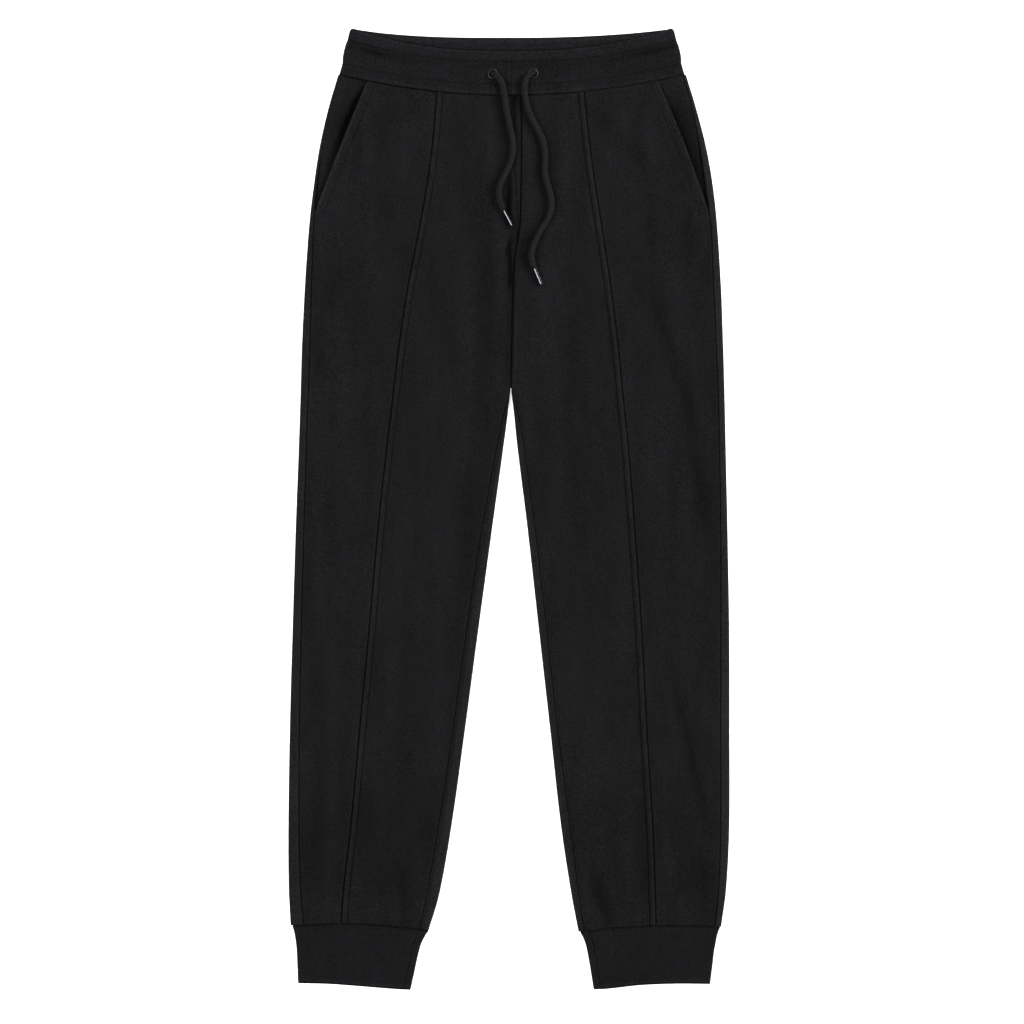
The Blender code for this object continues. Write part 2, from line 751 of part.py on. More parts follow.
def cuff_row(leg, part):
    """Once round the cuff from its own seam: over the inner side, underneath, and back over the outer."""
    inner = leg.cuff_inner(part)
    outer = leg.cuff_outer(part)
    height = CUFF_HEIGHT - CUFF_TOP_DIP * (1 - ease(0.0, 0.12, part))
    radius = height / 2
    pinch = CUFF_PINCH if part == 1 else 0.0
    start = PARTING / 2 if part == 0 else 0.0

    def pair(out, z, turn_out, turn_z):
        top = leg.hem(out) + start
        end = leg.cuff_end(out) + (0.0 if turn_z > 0 else CUFF_BACK_DROP)
        down = top + (end - top) * part
        near = pinch
        far = CUFF_WALL - pinch
        return (
            place(leg, out - turn_out * near, down, z - turn_z * near),
            place(leg, out - turn_out * far, down, z - turn_z * far),
        )

    left = outer - radius
    right = inner + radius
    seam = inner + leg.cuff_seam(part)
    pairs = [pair(seam - PARTING / 2, height, 0, 1)]
    for i in range(CUFF_ROUND_STEPS + 1):
        angle = math.pi / 2 - math.pi * i / CUFF_ROUND_STEPS
        out = right - radius * math.cos(angle)
        pairs.append(pair(out, radius * (1 + math.sin(angle)), -math.cos(angle), math.sin(angle)))
    for i in range(1, CUFF_FLAT_STEPS):
        pairs.append(pair(right + (left - right) * i / CUFF_FLAT_STEPS, 0.0, 0, -1))
    for i in range(CUFF_ROUND_STEPS + 1):
        angle = -math.pi / 2 + math.pi * i / CUFF_ROUND_STEPS
        out = left + radius * math.cos(angle)
        pairs.append(pair(out, radius * (1 + math.sin(angle)), math.cos(angle), math.sin(angle)))
    last = seam + PARTING / 2
    for i in range(1, CUFF_FLAT_STEPS + 1):
        pairs.append(pair(left + (last - left) * i / CUFF_FLAT_STEPS, height, 0, 1))
    return pairs


def add_cuff(leg, cloth):
    rows = [cuff_row(leg, part) for part in CUFF_PARTS]
    outside = [[pair[0] for pair in row] for row in rows]
    inside = [[pair[1] for pair in row] for row in rows]
    return add_wall("cuff_" + leg.name, outside, inside, cloth)


# ---------------------------------------------------------------- drawcord


def add_turned(name, start, end, profile, steps, finish):
    """Turns (distance along, radius) points round the line from start to end, closed at both ends."""
    along = (Vector(end) - Vector(start)).normalized()
    across = along.orthogonal().normalized()
    up = along.cross(across)
    points = []
    for travel, radius in profile:
        for i in range(steps):
            angle = 2 * math.pi * i / steps
            spoke = across * math.cos(angle) + up * math.sin(angle)
            points.append(tuple(Vector(start) + along * travel + spoke * radius))
    faces = []
    for ring in range(len(profile) - 1):
        for i in range(steps):
            here = ring * steps + i
            beside = ring * steps + (i + 1) % steps
            faces.append((here, beside, beside + steps, here + steps))
    faces.append(tuple(range(steps)))
    faces.append(tuple(range((len(profile) - 1) * steps, len(profile) * steps)))
    return add_object(name, points, faces, finish)


def add_eyelet(name, spot, finish):
    """A rolled ring on the band, with a short barrel in the hole."""
    seat = BAND_HEIGHT - EYELET_DIMPLE_DEPTH + PARTING
    centre = EYELET_BORE + EYELET_WIRE
    profile = [(EYELET_BORE, seat - EYELET_BARREL), (EYELET_BORE, seat + EYELET_WIRE)]
    for i in range(1, 6):
        angle = math.pi * i / 5
        crest = seat + EYELET_WIRE * (1 + 0.3 * math.sin(angle))
        profile.append((centre - EYELET_WIRE * math.cos(angle), crest))
    profile.append((centre + EYELET_WIRE, seat))
    profile.append((EYELET_BORE + 0.4, seat))
    profile.append((EYELET_BORE + 0.4, seat - EYELET_BARREL))
    steps = 24
    points = []
    for i in range(steps):
        angle = 2 * math.pi * i / steps
        for radius, z in profile:
            points.append((spot[0] + radius * math.cos(angle), spot[1] + radius * math.sin(angle), z))
    count = len(profile)
    faces = []
    for i in range(steps):
        for j in range(count):
            here = i * count + j
            above = i * count + (j + 1) % count
            ahead = ((i + 1) % steps) * count
            faces.append((here, above, ahead + (j + 1) % count, ahead + j))
    return add_object(name, points, faces, finish)


def cord_points(route):
    """(travel, point) along a smooth curve through the route: close together at the eyelet, then apart."""
    travel = [0.0]
    for before, after in zip(route, route[1:]):
        travel.append(travel[-1] + math.dist(before, after))
    lines = [curve_through(travel, [point[axis] for point in route]) for axis in range(3)]
    spots = [2.5 * i for i in range(6)]
    rest = travel[-1] - CORD_END - spots[-1]
    count = round(rest / 9)
    spots += [spots[-1] + rest * i / count for i in range(1, count + 1)]
    spots.append(travel[-1])
    return [(spot, tuple(line(spot) for line in lines)) for spot in spots]


def add_cord(name, route, finish):
    points = cord_points(route)
    shape = bpy.data.curves.new(name, "CURVE")
    shape.dimensions = "3D"
    shape.bevel_depth = CORD_RADIUS * MM
    shape.bevel_resolution = 3
    shape.use_fill_caps = True
    spline = shape.splines.new("POLY")
    spline.points.add(len(points) - 1)
    for spot, (travel, point) in zip(spline.points, points):
        spot.co = (point[0] * MM, point[1] * MM, point[2] * MM, 1)
        spot.radius = CORD_SQUEEZE + (1 - CORD_SQUEEZE) * ease(0, CORD_SQUEEZE_LENGTH, travel)
    shape.materials.append(finish)
    made = bpy.data.objects.new(name, shape)
    bpy.context.scene.collection.objects.link(made)
    return made


def add_aglet(name, cord_end, tip, finish):
    """A drawn metal tube closed round the cord's end, with a rounded mouth and a rounded tip."""
    start = Vector(cord_end)
    along = (Vector(tip) - start).normalized()
    first = start + along * 2 * PARTING
    profile = (
        (0.0, 1.7),
        (0.5, AGLET_RADIUS),
        (AGLET_LENGTH - 1.2, AGLET_RADIUS - 0.1),
        (AGLET_LENGTH - 0.3, 1.5),
        (AGLET_LENGTH, 0.8),
    )
    return add_turned(name, first, first + along, profile, 14, finish)


# ---------------------------------------------------------------- the garment


def build():
    for old in list(bpy.data.objects):
        bpy.data.objects.remove(old, do_unlink=True)
    fleece = material("black cotton fleece", 0.013, 0.013, 0.014, 0.95)
    knit = material("black cotton knit", 0.012, 0.012, 0.013, 0.95)
    braid = material("black braided cotton", 0.012, 0.012, 0.012, 0.85)
    gunmetal = material("gunmetal plated brass", 0.16, 0.16, 0.17, 0.3, metallic=1.0)
    for leg, eyelet in ((LEFT, EYELET_LEFT), (RIGHT, EYELET_RIGHT)):
        add_back(leg, fleece)
        add_front_centre(leg, fleece)
        add_front_side(leg, fleece)
        add_pocket_facing(leg, fleece)
        add_waistband(leg, knit, eyelet)
        add_cuff(leg, knit)
        add_eyelet("eyelet_" + leg.name, eyelet, gunmetal)
    add_cord("drawcord_left", LEFT_CORD, braid)
    add_cord("drawcord_right", RIGHT_CORD, braid)
    add_aglet("aglet_left", LEFT_CORD[-1], LEFT_TIP, gunmetal)
    add_aglet("aglet_right", RIGHT_CORD[-1], RIGHT_TIP, gunmetal)


build()
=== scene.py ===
"""Jogger sweatpants laid flat on their back, dressed for the studio.

+X is across the garment, +Y runs towards the waist and +Z is up. The tables hold millimetres: "down" is the
distance below the top of the waistband, and "out" is the distance from the middle towards that leg's side.
"""

import math
from collections import namedtuple

import bpy
import numpy as np
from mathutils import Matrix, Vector


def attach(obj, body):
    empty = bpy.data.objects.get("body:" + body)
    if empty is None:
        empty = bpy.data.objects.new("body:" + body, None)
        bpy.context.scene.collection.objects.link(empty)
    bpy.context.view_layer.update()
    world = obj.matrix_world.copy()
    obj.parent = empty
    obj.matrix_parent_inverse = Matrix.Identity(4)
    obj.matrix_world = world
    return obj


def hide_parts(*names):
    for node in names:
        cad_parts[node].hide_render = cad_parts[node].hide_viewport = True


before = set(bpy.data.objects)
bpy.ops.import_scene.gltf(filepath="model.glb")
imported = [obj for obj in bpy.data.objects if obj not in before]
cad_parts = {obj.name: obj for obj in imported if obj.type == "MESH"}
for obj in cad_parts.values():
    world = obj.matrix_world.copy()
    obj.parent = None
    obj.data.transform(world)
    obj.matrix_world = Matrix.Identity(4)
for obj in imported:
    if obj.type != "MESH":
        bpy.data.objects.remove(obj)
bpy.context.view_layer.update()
scene = bpy.context.scene


# ---------------------------------------------------------------- table, light and camera
# The garment lies on a table of white opal glass that is lit from below, inside a tent of white cloth.
# The walls of the tent are brighter than its roof, and of its two soft lamps the one on the right is the
# lower and the stronger.


def linear(hex_code):
    """The colour of a screen, such as 1c1c1e, as the linear light that Blender works in."""
    parts = [int(hex_code[i:i + 2], 16) / 255 for i in (0, 2, 4)]
    return [p / 12.92 if p <= 0.04045 else ((p + 0.055) / 1.055) ** 2.4 for p in parts] + [1.0]


def start_material(name):
    """An empty material with its shader: (material, node tree, shader)."""
    made = bpy.data.materials.new(name)
    made.use_nodes = True
    return made, made.node_tree, made.node_tree.nodes["Principled BSDF"]


def plug(tree, made, inputs):
    """Sets each input of a node to its value, or links it from a socket."""
    for name, value in inputs.items():
        if isinstance(value, bpy.types.NodeSocket):
            tree.links.new(value, made.inputs[name])
        else:
            made.inputs[name].default_value = value


def node(tree, kind, inputs=None, **settings):
    """Adds a node with its settings and its inputs."""
    made = tree.nodes.new("ShaderNode" + kind)
    for name, value in settings.items():
        setattr(made, name, value)
    plug(tree, made, inputs or {})
    return made


def speckled(tree, scale, detail, dark, light):
    """Uneven specks that stay with the piece: (their strength, their colour between dark and light)."""
    place = node(tree, "TexCoord").outputs["Object"]
    specks = node(tree, "TexNoise", {"Vector": place, "Scale": scale, "Detail": detail}).outputs[0]
    tint = node(tree, "Mix", {0: specks, 6: linear(dark), 7: linear(light)}, data_type="RGBA")
    return specks, tint.outputs[2]


# White opal glass: it glows evenly from below, with no gloss, so that no shadow falls on it.
opal, tree, shader = start_material("white opal glass")
tint = speckled(tree, 9.0, 2.0, "f5f5f5", "f7f7f7")[1]
plug(tree, shader, {"Base Color": tint, "Roughness": 0.95, "Specular IOR Level": 0.1})
plug(tree, shader, {"Emission Color": (1, 1, 1, 1), "Emission Strength": 0.7})

bpy.ops.mesh.primitive_plane_add(size=14, location=(0, 0, -0.0006))
table = bpy.context.object
table.name = "opal_table"
table.data.materials.append(opal)

# The tent is bright along its walls and dim overhead: z runs from 0 at the table's level to 1 on top.
world = bpy.data.worlds.new("light tent")
world.use_nodes = True
tree = world.node_tree
height = node(tree, "SeparateXYZ", {0: node(tree, "TexCoord").outputs["Generated"]}).outputs[2]
glow = node(tree, "MapRange", {0: height, 1: 0.15, 2: 0.9, 3: 1.7, 4: 0.3}).outputs[0]
plug(tree, tree.nodes["Background"], {"Strength": glow})
scene.world = world
scene.view_settings.view_transform = "Standard"


def add_lamp(name, position, aim, size, power):
    lamp = bpy.data.lights.new(name, "AREA")
    lamp.shape = "DISK"
    lamp.size = size
    lamp.energy = power
    made = bpy.data.objects.new(name, lamp)
    made.location = position
    made.rotation_euler = (Vector(aim) - Vector(position)).to_track_quat("-Z", "Y").to_euler()
    scene.collection.objects.link(made)


add_lamp("soft lamp on the left", (-2.5, -0.6, 3.0), (0, 0, 0), 2.4, 190)
add_lamp("soft lamp on the right", (3.0, 1.0, 2.2), (0, 0.1, 0), 2.0, 240)

lens = bpy.data.cameras.new("camera")
lens.lens = 85
lens.sensor_width = 36
lens.clip_end = 20
camera = bpy.data.objects.new("camera", lens)
camera.location = (0.00324, -0.0031, 2.570)
scene.collection.objects.link(camera)
scene.camera = camera


# ---------------------------------------------------------------- back leg panels
# Each leg's back is one panel of cotton fleece, a fine jersey with its brushed side inside. It lies on the
# table, wraps round both edges of the leg, and is overlocked to the front along the side and the inseam.

MM = 0.001
LENGTH = 1020.0
WAIST_SEAM = 49.0
WAIST_DROP_FRONT = 22.0
WAIST_DROP_BACK = 9.0
WAIST_REACH = 190.0
CROTCH = 381.0
HEM = 951.0
HEM_REACH = 110.0
FLEECE = 1.5
SEAM_GAP = 0.12
FRONT_HEIGHT = 5.4
HEIGHT_ROOM = 2.5
FOLD_RADIUS = 3.0
CROTCH_RADIUS = 1.8
CROTCH_LENGTH = 60.0
POCKET_TOP = 56.0
POCKET_END = 195.0
BACK_SEAM_X = 2.6

# The distances down at which the edges and seams of a leg, of its inner side and of its pocket are given.
LEG_DOWN = (49, 84, 126, 169, 211, 275, 339, 381, 445, 530, 636, 743, 849, 913, 951)
INNER_DOWN = (381, 412, 445, 530, 636, 743, 849, 913, 951)
POCKET_DOWN = (56, 117, 195)

Fold = namedtuple("Fold", "x_top down_top x_end down_end width rise")

# The folds of the front, largest first: a trough has a negative rise.
FOLDS = [Fold(*row) for row in (
    (-19, 140, -27, 430, 11, -1.6), (-27, 380, -60, 670, 13, -1.4), (-9, 140, -11, 330, 7, 0.5),
    (0.2, 150, 1.4, 290, 2.2, -1.2), (56, 215, 77, 600, 12, -1.4), (27, 235, 41, 440, 9, 0.6),
    (143, 250, 196, 430, 8, -2.1), (186, 370, 212, 560, 9, -2.2), (165, 650, 215, 870, 7, -1.8),
    (82, 80, 168, 168, 7, -1.1), (74, 98, 142, 182, 8, 0.7), (-140, 168, -122, 208, 9, -1.0),
    (-114, 222, -96, 260, 9, -1.0), (-198, 266, -181, 310, 9, -1.0), (-181, 265, -168, 425, 12, 1.1),
    (84, 880, 114, 975, 8, -2.4), (150, 765, 143, 945, 12, -1.3), (205, 866, 214, 965, 9, -1.2),
    (144, 190, 156, 240, 9, -0.9), (185, 195, 197, 245, 9, -0.9), (45, 95, 52, 240, 6, -0.6),
    (70, 90, 80, 260, 7, -0.7), (-207, 815, -204, 930, 13, -1.1), (-172, 790, -150, 905, 11, -0.6),
    (-114, 875, -108, 970, 9, -1.6), (125, 826, 122, 920, 8, 1.2), (170, 846, 168, 940, 8, 1.2),
)]
# Creases of the underside, which the table presses nearly flat. Here the rise is up from the table.
BACK_FOLDS = [Fold(*row) for row in (
    (-20, 330, -120, 470, 9, 0.6), (-35, 300, -160, 400, 7, 0.5), (20, 320, 130, 480, 8, 0.6),
    (30, 290, 150, 390, 7, 0.5), (-70, 470, -95, 760, 12, 0.5), (80, 500, 92, 720, 10, 0.5),
    (-205, 560, -150, 650, 8, 0.4), (205, 600, 160, 700, 8, 0.5), (-190, 820, -150, 930, 9, 0.5),
    (-110, 830, -120, 940, 8, 0.4), (110, 820, 104, 940, 8, 0.5), (190, 850, 170, 940, 8, 0.4),
    (-150, 90, -80, 190, 9, 0.4), (150, 100, 90, 210, 9, 0.4),
)]


def curve_through(places, values):
    """A smooth curve that passes through every value at its place."""
    places = np.array(places, float)
    values = np.array(values, float)
    last = len(places) - 1
    before = np.maximum(np.arange(last + 1) - 1, 0)
    after = np.minimum(np.arange(last + 1) + 1, last)
    slopes = (values[after] - values[before]) / (places[after] - places[before])

    def value(place):
        place = np.clip(place, places[0], places[-1])
        i = np.clip(np.searchsorted(places, place, side="right") - 1, 0, last - 1)
        span = places[i + 1] - places[i]
        part = (place - places[i]) / span
        rise = values[i + 1] - values[i]
        start = slopes[i] * span
        end = slopes[i + 1] * span
        bend = 3 * rise - 2 * start - end + part * (start + end - 2 * rise)
        return values[i] + part * (start + part * bend)

    return value


def ease(low, high, value):
    """Rises smoothly from 0 at low to 1 at high."""
    part = np.clip((value - low) / (high - low), 0.0, 1.0)
    return part * part * (3 - 2 * part)


def soft_noise(x, y, size_x, size_y, seed):
    """Smooth uneven hills from -1 to 1, each about this many millimetres across."""
    table = np.random.default_rng(seed).uniform(-1, 1, (64, 64))
    u = x / size_x + 640.5
    v = y / size_y + 640.5
    i, j = np.floor(u).astype(int), np.floor(v).astype(int)
    u, v = u - i, v - j
    u, v = u * u * (3 - 2 * u), v * v * (3 - 2 * v)
    i0, i1, j0, j1 = i % 64, (i + 1) % 64, j % 64, (j + 1) % 64
    low = table[i0, j0] * (1 - u) + table[i1, j0] * u
    high = table[i0, j1] * (1 - u) + table[i1, j1] * u
    return low * (1 - v) + high * v


# The centre-front seam swings from right of the middle to the crotch.
centre_seam = curve_through(
    (49, 110, 165, 211, 242, 275, 330, 381), (13.4, 13.4, 12.9, 11.3, 6.3, 4.3, 3.0, 2.0)
)


class Leg:
    """The edges and seams of one half of the garment, each as a distance out at a distance down."""

    def __init__(self, name, side, waist, outer, side_seam, raised_seam, inner, inseam, mouth, hem):
        self.name = name
        self.side = side
        self.waist = waist
        self.outer = curve_through(LEG_DOWN, outer)
        self.side_seam = curve_through(LEG_DOWN, side_seam)
        self.raised_seam = curve_through(LEG_DOWN, raised_seam)
        self.inner = curve_through(INNER_DOWN, inner)
        self.inseam = curve_through(INNER_DOWN, inseam)
        self.pocket_edge = curve_through(POCKET_DOWN, mouth)
        self.hem = curve_through(*hem)

    def centre(self, down):
        return self.side * centre_seam(down)

    def front_edge(self, down):
        """Outer edge of the front side panel: the pocket's mouth, then the side seam."""
        mouth = np.minimum(self.pocket_edge(down), self.side_seam(down))
        return np.where(down < POCKET_END, mouth, self.side_seam(down))


# The inseam is measured in from the inner edge, and the hem is given by its distances out and down.
LEFT = Leg(
    "left", -1, 180.2,
    outer=(181.2, 191.5, 201, 207.5, 212.3, 216.8, 219.9, 221.1,
           223.2, 226.4, 229.7, 232.7, 234.3, 233.8, 231.8),
    side_seam=(177.9, 188.2, 197.7, 204, 207.3, 209.7, 211.4, 212.8,
               215, 217.7, 220.4, 222.5, 222.8, 221.2, 217.8),
    raised_seam=(74.7, 77.8, 81.5, 87.4, 94.9, 107.3, 116.9, 121.9,
                 129.5, 138.7, 148.1, 158.2, 168, 175.3, 178.1),
    inner=(-2.0, 1.6, 5.9, 17.7, 32.2, 46.5, 61.4, 73.7, 85.4),
    inseam=(0.0, 4.6, 7.1, 10.8, 12.3, 12.7, 13.5, 13.0, 9.9),
    mouth=(150.5, 175.4, 206.3),
    hem=((85, 120, 170, 228), (957.6, 953.4, 950.2, 952.0)),
)
RIGHT = Leg(
    "right", 1, 186.6,
    outer=(188, 198.6, 209.4, 216.9, 221.2, 225.3, 227.6, 228.8,
           230.2, 232.1, 233.9, 234.1, 233.9, 230.7, 225.6),
    side_seam=(184.4, 193.9, 202.4, 208.8, 214.3, 217.3, 220.1, 221.8,
               223.3, 224.8, 224.9, 224.6, 224.7, 222.5, 218.8),
    raised_seam=(78.5, 81.4, 86, 91.9, 98.6, 108.1, 116, 120,
                 126.6, 133.3, 140.7, 146.2, 152.7, 155, 156.2),
    inner=(2.0, 5.6, 9.0, 19.6, 31.5, 43.6, 55.6, 66.2, 73.9),
    inseam=(0.0, 4.8, 7.1, 8.2, 8.4, 8.2, 9.7, 8.0, 6.6),
    mouth=(158.0, 184.0, 212.5),
    hem=((78, 115, 160, 224), (958.6, 954.8, 952.3, 953.4)),
)


def waist_line(leg, out, front):
    """Distance down of the waistband's seam. It hangs lowest in the middle."""
    reach = np.minimum(np.abs(out) / leg.waist, 1.0)
    if front:
        return WAIST_SEAM + WAIST_DROP_FRONT * (1 - reach**2)
    return WAIST_SEAM + WAIST_DROP_BACK * (1 - reach**3)


def settle(leg, level, out, front=True):
    """Distance down of a point of a leg's level, which follows the waist seam above and the hem below."""
    above = 1 - ease(WAIST_SEAM, WAIST_SEAM + WAIST_REACH, level)
    below = ease(HEM - HEM_REACH, HEM, level)
    down = level + (waist_line(leg, out, front) - WAIST_SEAM) * above + (leg.hem(out) - HEM) * below
    return down - np.where(level == HEM, 0.1, 0.0)


def fold_rise(folds, x, down):
    """Each fold is round across, and dies away at both ends."""
    total = np.zeros(np.broadcast(x, down).shape)
    for fold in folds:
        run_x = fold.x_end - fold.x_top
        run_down = fold.down_end - fold.down_top
        length = math.hypot(run_x, run_down)
        along = ((x - fold.x_top) * run_x + (down - fold.down_top) * run_down) / length**2
        across = ((x - fold.x_top) * run_down - (down - fold.down_top) * run_x) / length
        total += fold.rise * np.sin(np.pi * np.clip(along, 0, 1)) * mark(across, fold.width)
    return total


def mark(reach, width):
    """1 on a line, fading to nothing within about twice this width."""
    return np.exp(-((reach / width) ** 2))


def window(start, full, fading, end, value):
    """Rises from 0 at the start to 1 at full, and falls again to 0 at the end."""
    return ease(start, full, value) * (1 - ease(fading, end, value))


def rolled_edge(reach, width, depth):
    """How far the cloth turns down into a seam, at this distance from the seam line."""
    part = np.clip(reach / width, 0, 1)
    return depth * (1 - np.sqrt(1 - (1 - part) ** 2))


def front_height(leg, out, down):
    """Height of the upper face of the front above the table, in millimetres."""
    x = leg.side * out
    height = FRONT_HEIGHT + fold_rise(FOLDS, x, down)
    mouth = np.abs(out - leg.pocket_edge(down))
    height += (1 - ease(6, 45, mouth)) * (1 - ease(POCKET_END - 20, POCKET_END + 40, down))
    above_crotch = down < CROTCH
    reach = np.where(above_crotch, np.abs(x - centre_seam(down)), np.abs(out - leg.inner(down)))
    depth = np.where(above_crotch, ease(230, CROTCH, down), 1 - ease(CROTCH, CROTCH + CROTCH_LENGTH, down))
    height -= depth * (1.4 * mark(reach, 8) + 0.9 * mark(reach, 2.6))
    hem = leg.hem(out)
    height += 0.7 * ease(hem - 70, hem - 25, down) - 1.3 * ease(hem - 14, hem, down)
    height += 1.1 * mark(x - centre_seam(down) - 3.8, 2.6) * window(235, 290, 350, 392, down)
    waist = down - waist_line(leg, out, True)
    height -= 0.4 * (1 - ease(0, 10, waist))
    height += 0.5 * soft_noise(x, down, 48, 90, 3) + 0.24 * soft_noise(x, down, 19, 34, 4)
    puckers = soft_noise(x, down, 7, 60, 5)
    height += 0.45 * puckers * (1 - ease(2, 26, waist)) + 0.5 * puckers * ease(hem - 30, hem - 3, down)
    return FRONT_HEIGHT + HEIGHT_ROOM * np.tanh((height - FRONT_HEIGHT) / HEIGHT_ROOM)


def seam_at(leg, line, level):
    """Where a seam line crosses a level."""
    return line(settle(leg, level, line(level)))


def spread(start, end, first, last, middle):
    """Travels across a panel at every level: set distances from each edge, and even steps between."""
    start, end = np.broadcast_arrays(start, end)
    first, last = np.array(first)[None, :], np.array(last)[None, ::-1]
    begin = start + first[:, -1:]
    steps = np.linspace(0, 1, middle + 1)[None, 1:-1]
    return np.concatenate([start + first, begin + (end - last[:, :1] - begin) * steps, end - last], axis=1)


def points_at(leg, out, down, z):
    out, down, z = np.broadcast_arrays(out, down, z)
    return np.stack([leg.side * out, LENGTH / 2 - down, z], axis=-1) * MM


# The fleece is painted lighter where it stands above the cloth 1.5 mm away and darker where it lies below
# it: painted light and shade. Each millimetre counts for a quarter.
LIFT_REACH = 0.0015
LIFT_SHARE = 0.25
PAINTED_CONTRAST = 0.85


def lift_of(outside, inside):
    """How far the cloth stands out, in millimetres, above what lies a little way off on all sides."""
    lift = np.zeros(outside.shape[:2])
    for grid, share in ((outside, lift), (outside.swapaxes(0, 1), lift.T)):
        steps = np.linalg.norm(np.diff(grid, axis=1, prepend=grid[:, :1]), axis=2)
        for travel, heights, part in zip(np.cumsum(steps, axis=1), grid[:, :, 2], share):
            around = [np.interp(travel + reach, travel, heights) for reach in (LIFT_REACH, -LIFT_REACH)]
            part += heights - sum(around) / 2
    return lift * np.clip((outside - inside)[:, :, 2] / 0.0005, -1, 1) / MM


def add_piece(name, points, faces, finish):
    """One visible piece of the garment, which rides on its one body."""
    mesh = bpy.data.meshes.new(name)
    mesh.from_pydata(points.reshape(-1, 3).tolist(), [], faces)
    mesh.shade_smooth()
    mesh.materials.append(finish)
    made = bpy.data.objects.new(name, mesh)
    scene.collection.objects.link(made)
    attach(made, "root")
    return made


def store(mesh, name, values):
    """Keeps a value for each point of a mesh, for its material."""
    mesh.attributes.new(name, "FLOAT", "POINT").data.foreach_set("value", values.astype(np.float32))


def add_cloth(name, outside, inside, finish, shade):
    """A thin shell of cloth between two grids of points, closed along its edges.

    The cloth map holds metres along the cloth, so that the knit keeps its size over every fold. The painted
    light and shade is how far the cloth stands out, added to the shade it is given: raised edges are
    painted lighter, seams and creases painted darker."""
    rows, columns = outside.shape[:2]
    count = rows * columns
    i, j = np.meshgrid(np.arange(rows - 1) * columns, np.arange(columns - 1), indexing="ij")
    outer = ((i + j)[:, :, None] + np.array([0, 1, 1 + columns, columns])).reshape(-1, 4)
    top = np.arange(columns - 1)[:, None] + np.array([0, count, 1 + count, 1])
    left = np.arange(rows - 1)[:, None] * columns + np.array([0, columns, columns + count, count])
    bottom, right = top[:, ::-1] + (rows - 1) * columns, left[:, ::-1] + columns - 1
    faces = np.concatenate([outer, outer[:, ::-1] + count, top, bottom, left, right])
    points = np.concatenate([outside.reshape(-1, 3), inside.reshape(-1, 3)])
    a, b, c, d = (points[faces[:, k]] for k in range(4))
    if (np.einsum("ij,ij->i", a, np.cross(b, c)) + np.einsum("ij,ij->i", a, np.cross(c, d))).sum() < 0:
        faces = faces[:, ::-1]
    made = add_piece(name, points, faces.tolist(), finish)
    u = np.cumsum(np.linalg.norm(np.diff(outside, axis=1, prepend=outside[:, :1]), axis=2), axis=1)
    v = np.cumsum(np.linalg.norm(np.diff(outside, axis=0, prepend=outside[:1]), axis=2), axis=0)
    flat = np.tile(np.stack([u, v], -1).reshape(-1, 2), (2, 1))[faces.reshape(-1)]
    made.data.uv_layers.new(name="cloth").data.foreach_set("uv", flat.reshape(-1).astype(np.float32))
    store(made.data, "painted_light_and_shade", np.tile((lift_of(outside, inside) * LIFT_SHARE + shade).reshape(-1), 2))
    made.data.set_sharp_from_angle(angle=math.radians(60))
    return made


def lay_cloth(piece, part, slot, held, rests_on, flat, area):
    """Hides the CAD part whose place this cloth takes. The flat size in metres and the area in square
    metres are not used.
    """
    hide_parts(part)


# Black cotton fleece with a jersey face: a matt, deep black that is soft at its edges, with a mottle where
# the yarn took the dye unevenly. Its colour is scaled by the painted light and shade: painted highlights on
# raised edges and the ridges of folds, painted shade in seams, creases and troughs. The knit has a wale
# every 0.9 mm and a course every 0.7 mm. Both are drawn twice as coarse, so that they show.
WALE = 0.0018
COURSE = 0.0014
# Each layer of the mottle: the size of its spots in millimetres, and how much it counts for.
MOTTLE = ((1.1, 2.4), (2.6, 1.0), (9.0, 0.3), (30.0, 0.35))


def knit_relief(tree):
    """Height of a jersey face: upright columns of small V stitches."""
    cloth = node(tree, "UVMap", uv_map="cloth").outputs[0]
    wobble = node(tree, "TexNoise", {"Vector": cloth, "Scale": 60.0, "Detail": 2.0})
    bent = node(tree, "VectorMath", {0: wobble.outputs[1], 1: (0.0012,) * 3}, operation="MULTIPLY")
    cloth = node(tree, "VectorMath", {0: cloth, 1: bent.outputs[0]}, operation="ADD").outputs[0]
    split = node(tree, "SeparateXYZ", {0: cloth})
    column = node(tree, "Math", {0: split.outputs[0], 1: WALE}, operation="DIVIDE").outputs[0]
    part = node(tree, "Math", {0: column}, operation="FRACT").outputs[0]
    arm = node(tree, "Math", {0: part, 1: 0.5}, operation="SUBTRACT").outputs[0]
    arm = node(tree, "Math", {0: arm}, operation="ABSOLUTE").outputs[0]
    row = node(tree, "Math", {0: split.outputs[1], 1: COURSE}, operation="DIVIDE").outputs[0]
    phase = node(tree, "Math", {0: row, 1: arm}, operation="ADD").outputs[0]
    turn = node(tree, "Math", {0: phase, 1: 2 * math.pi}, operation="MULTIPLY").outputs[0]
    stitch = node(tree, "Math", {0: turn}, operation="SINE").outputs[0]
    groove = node(tree, "Math", {0: arm, 1: -2.2, 2: 1.0}, operation="MULTIPLY_ADD").outputs[0]
    return node(tree, "Math", {0: stitch, 1: 0.5, 2: groove}, operation="MULTIPLY_ADD").outputs[0]


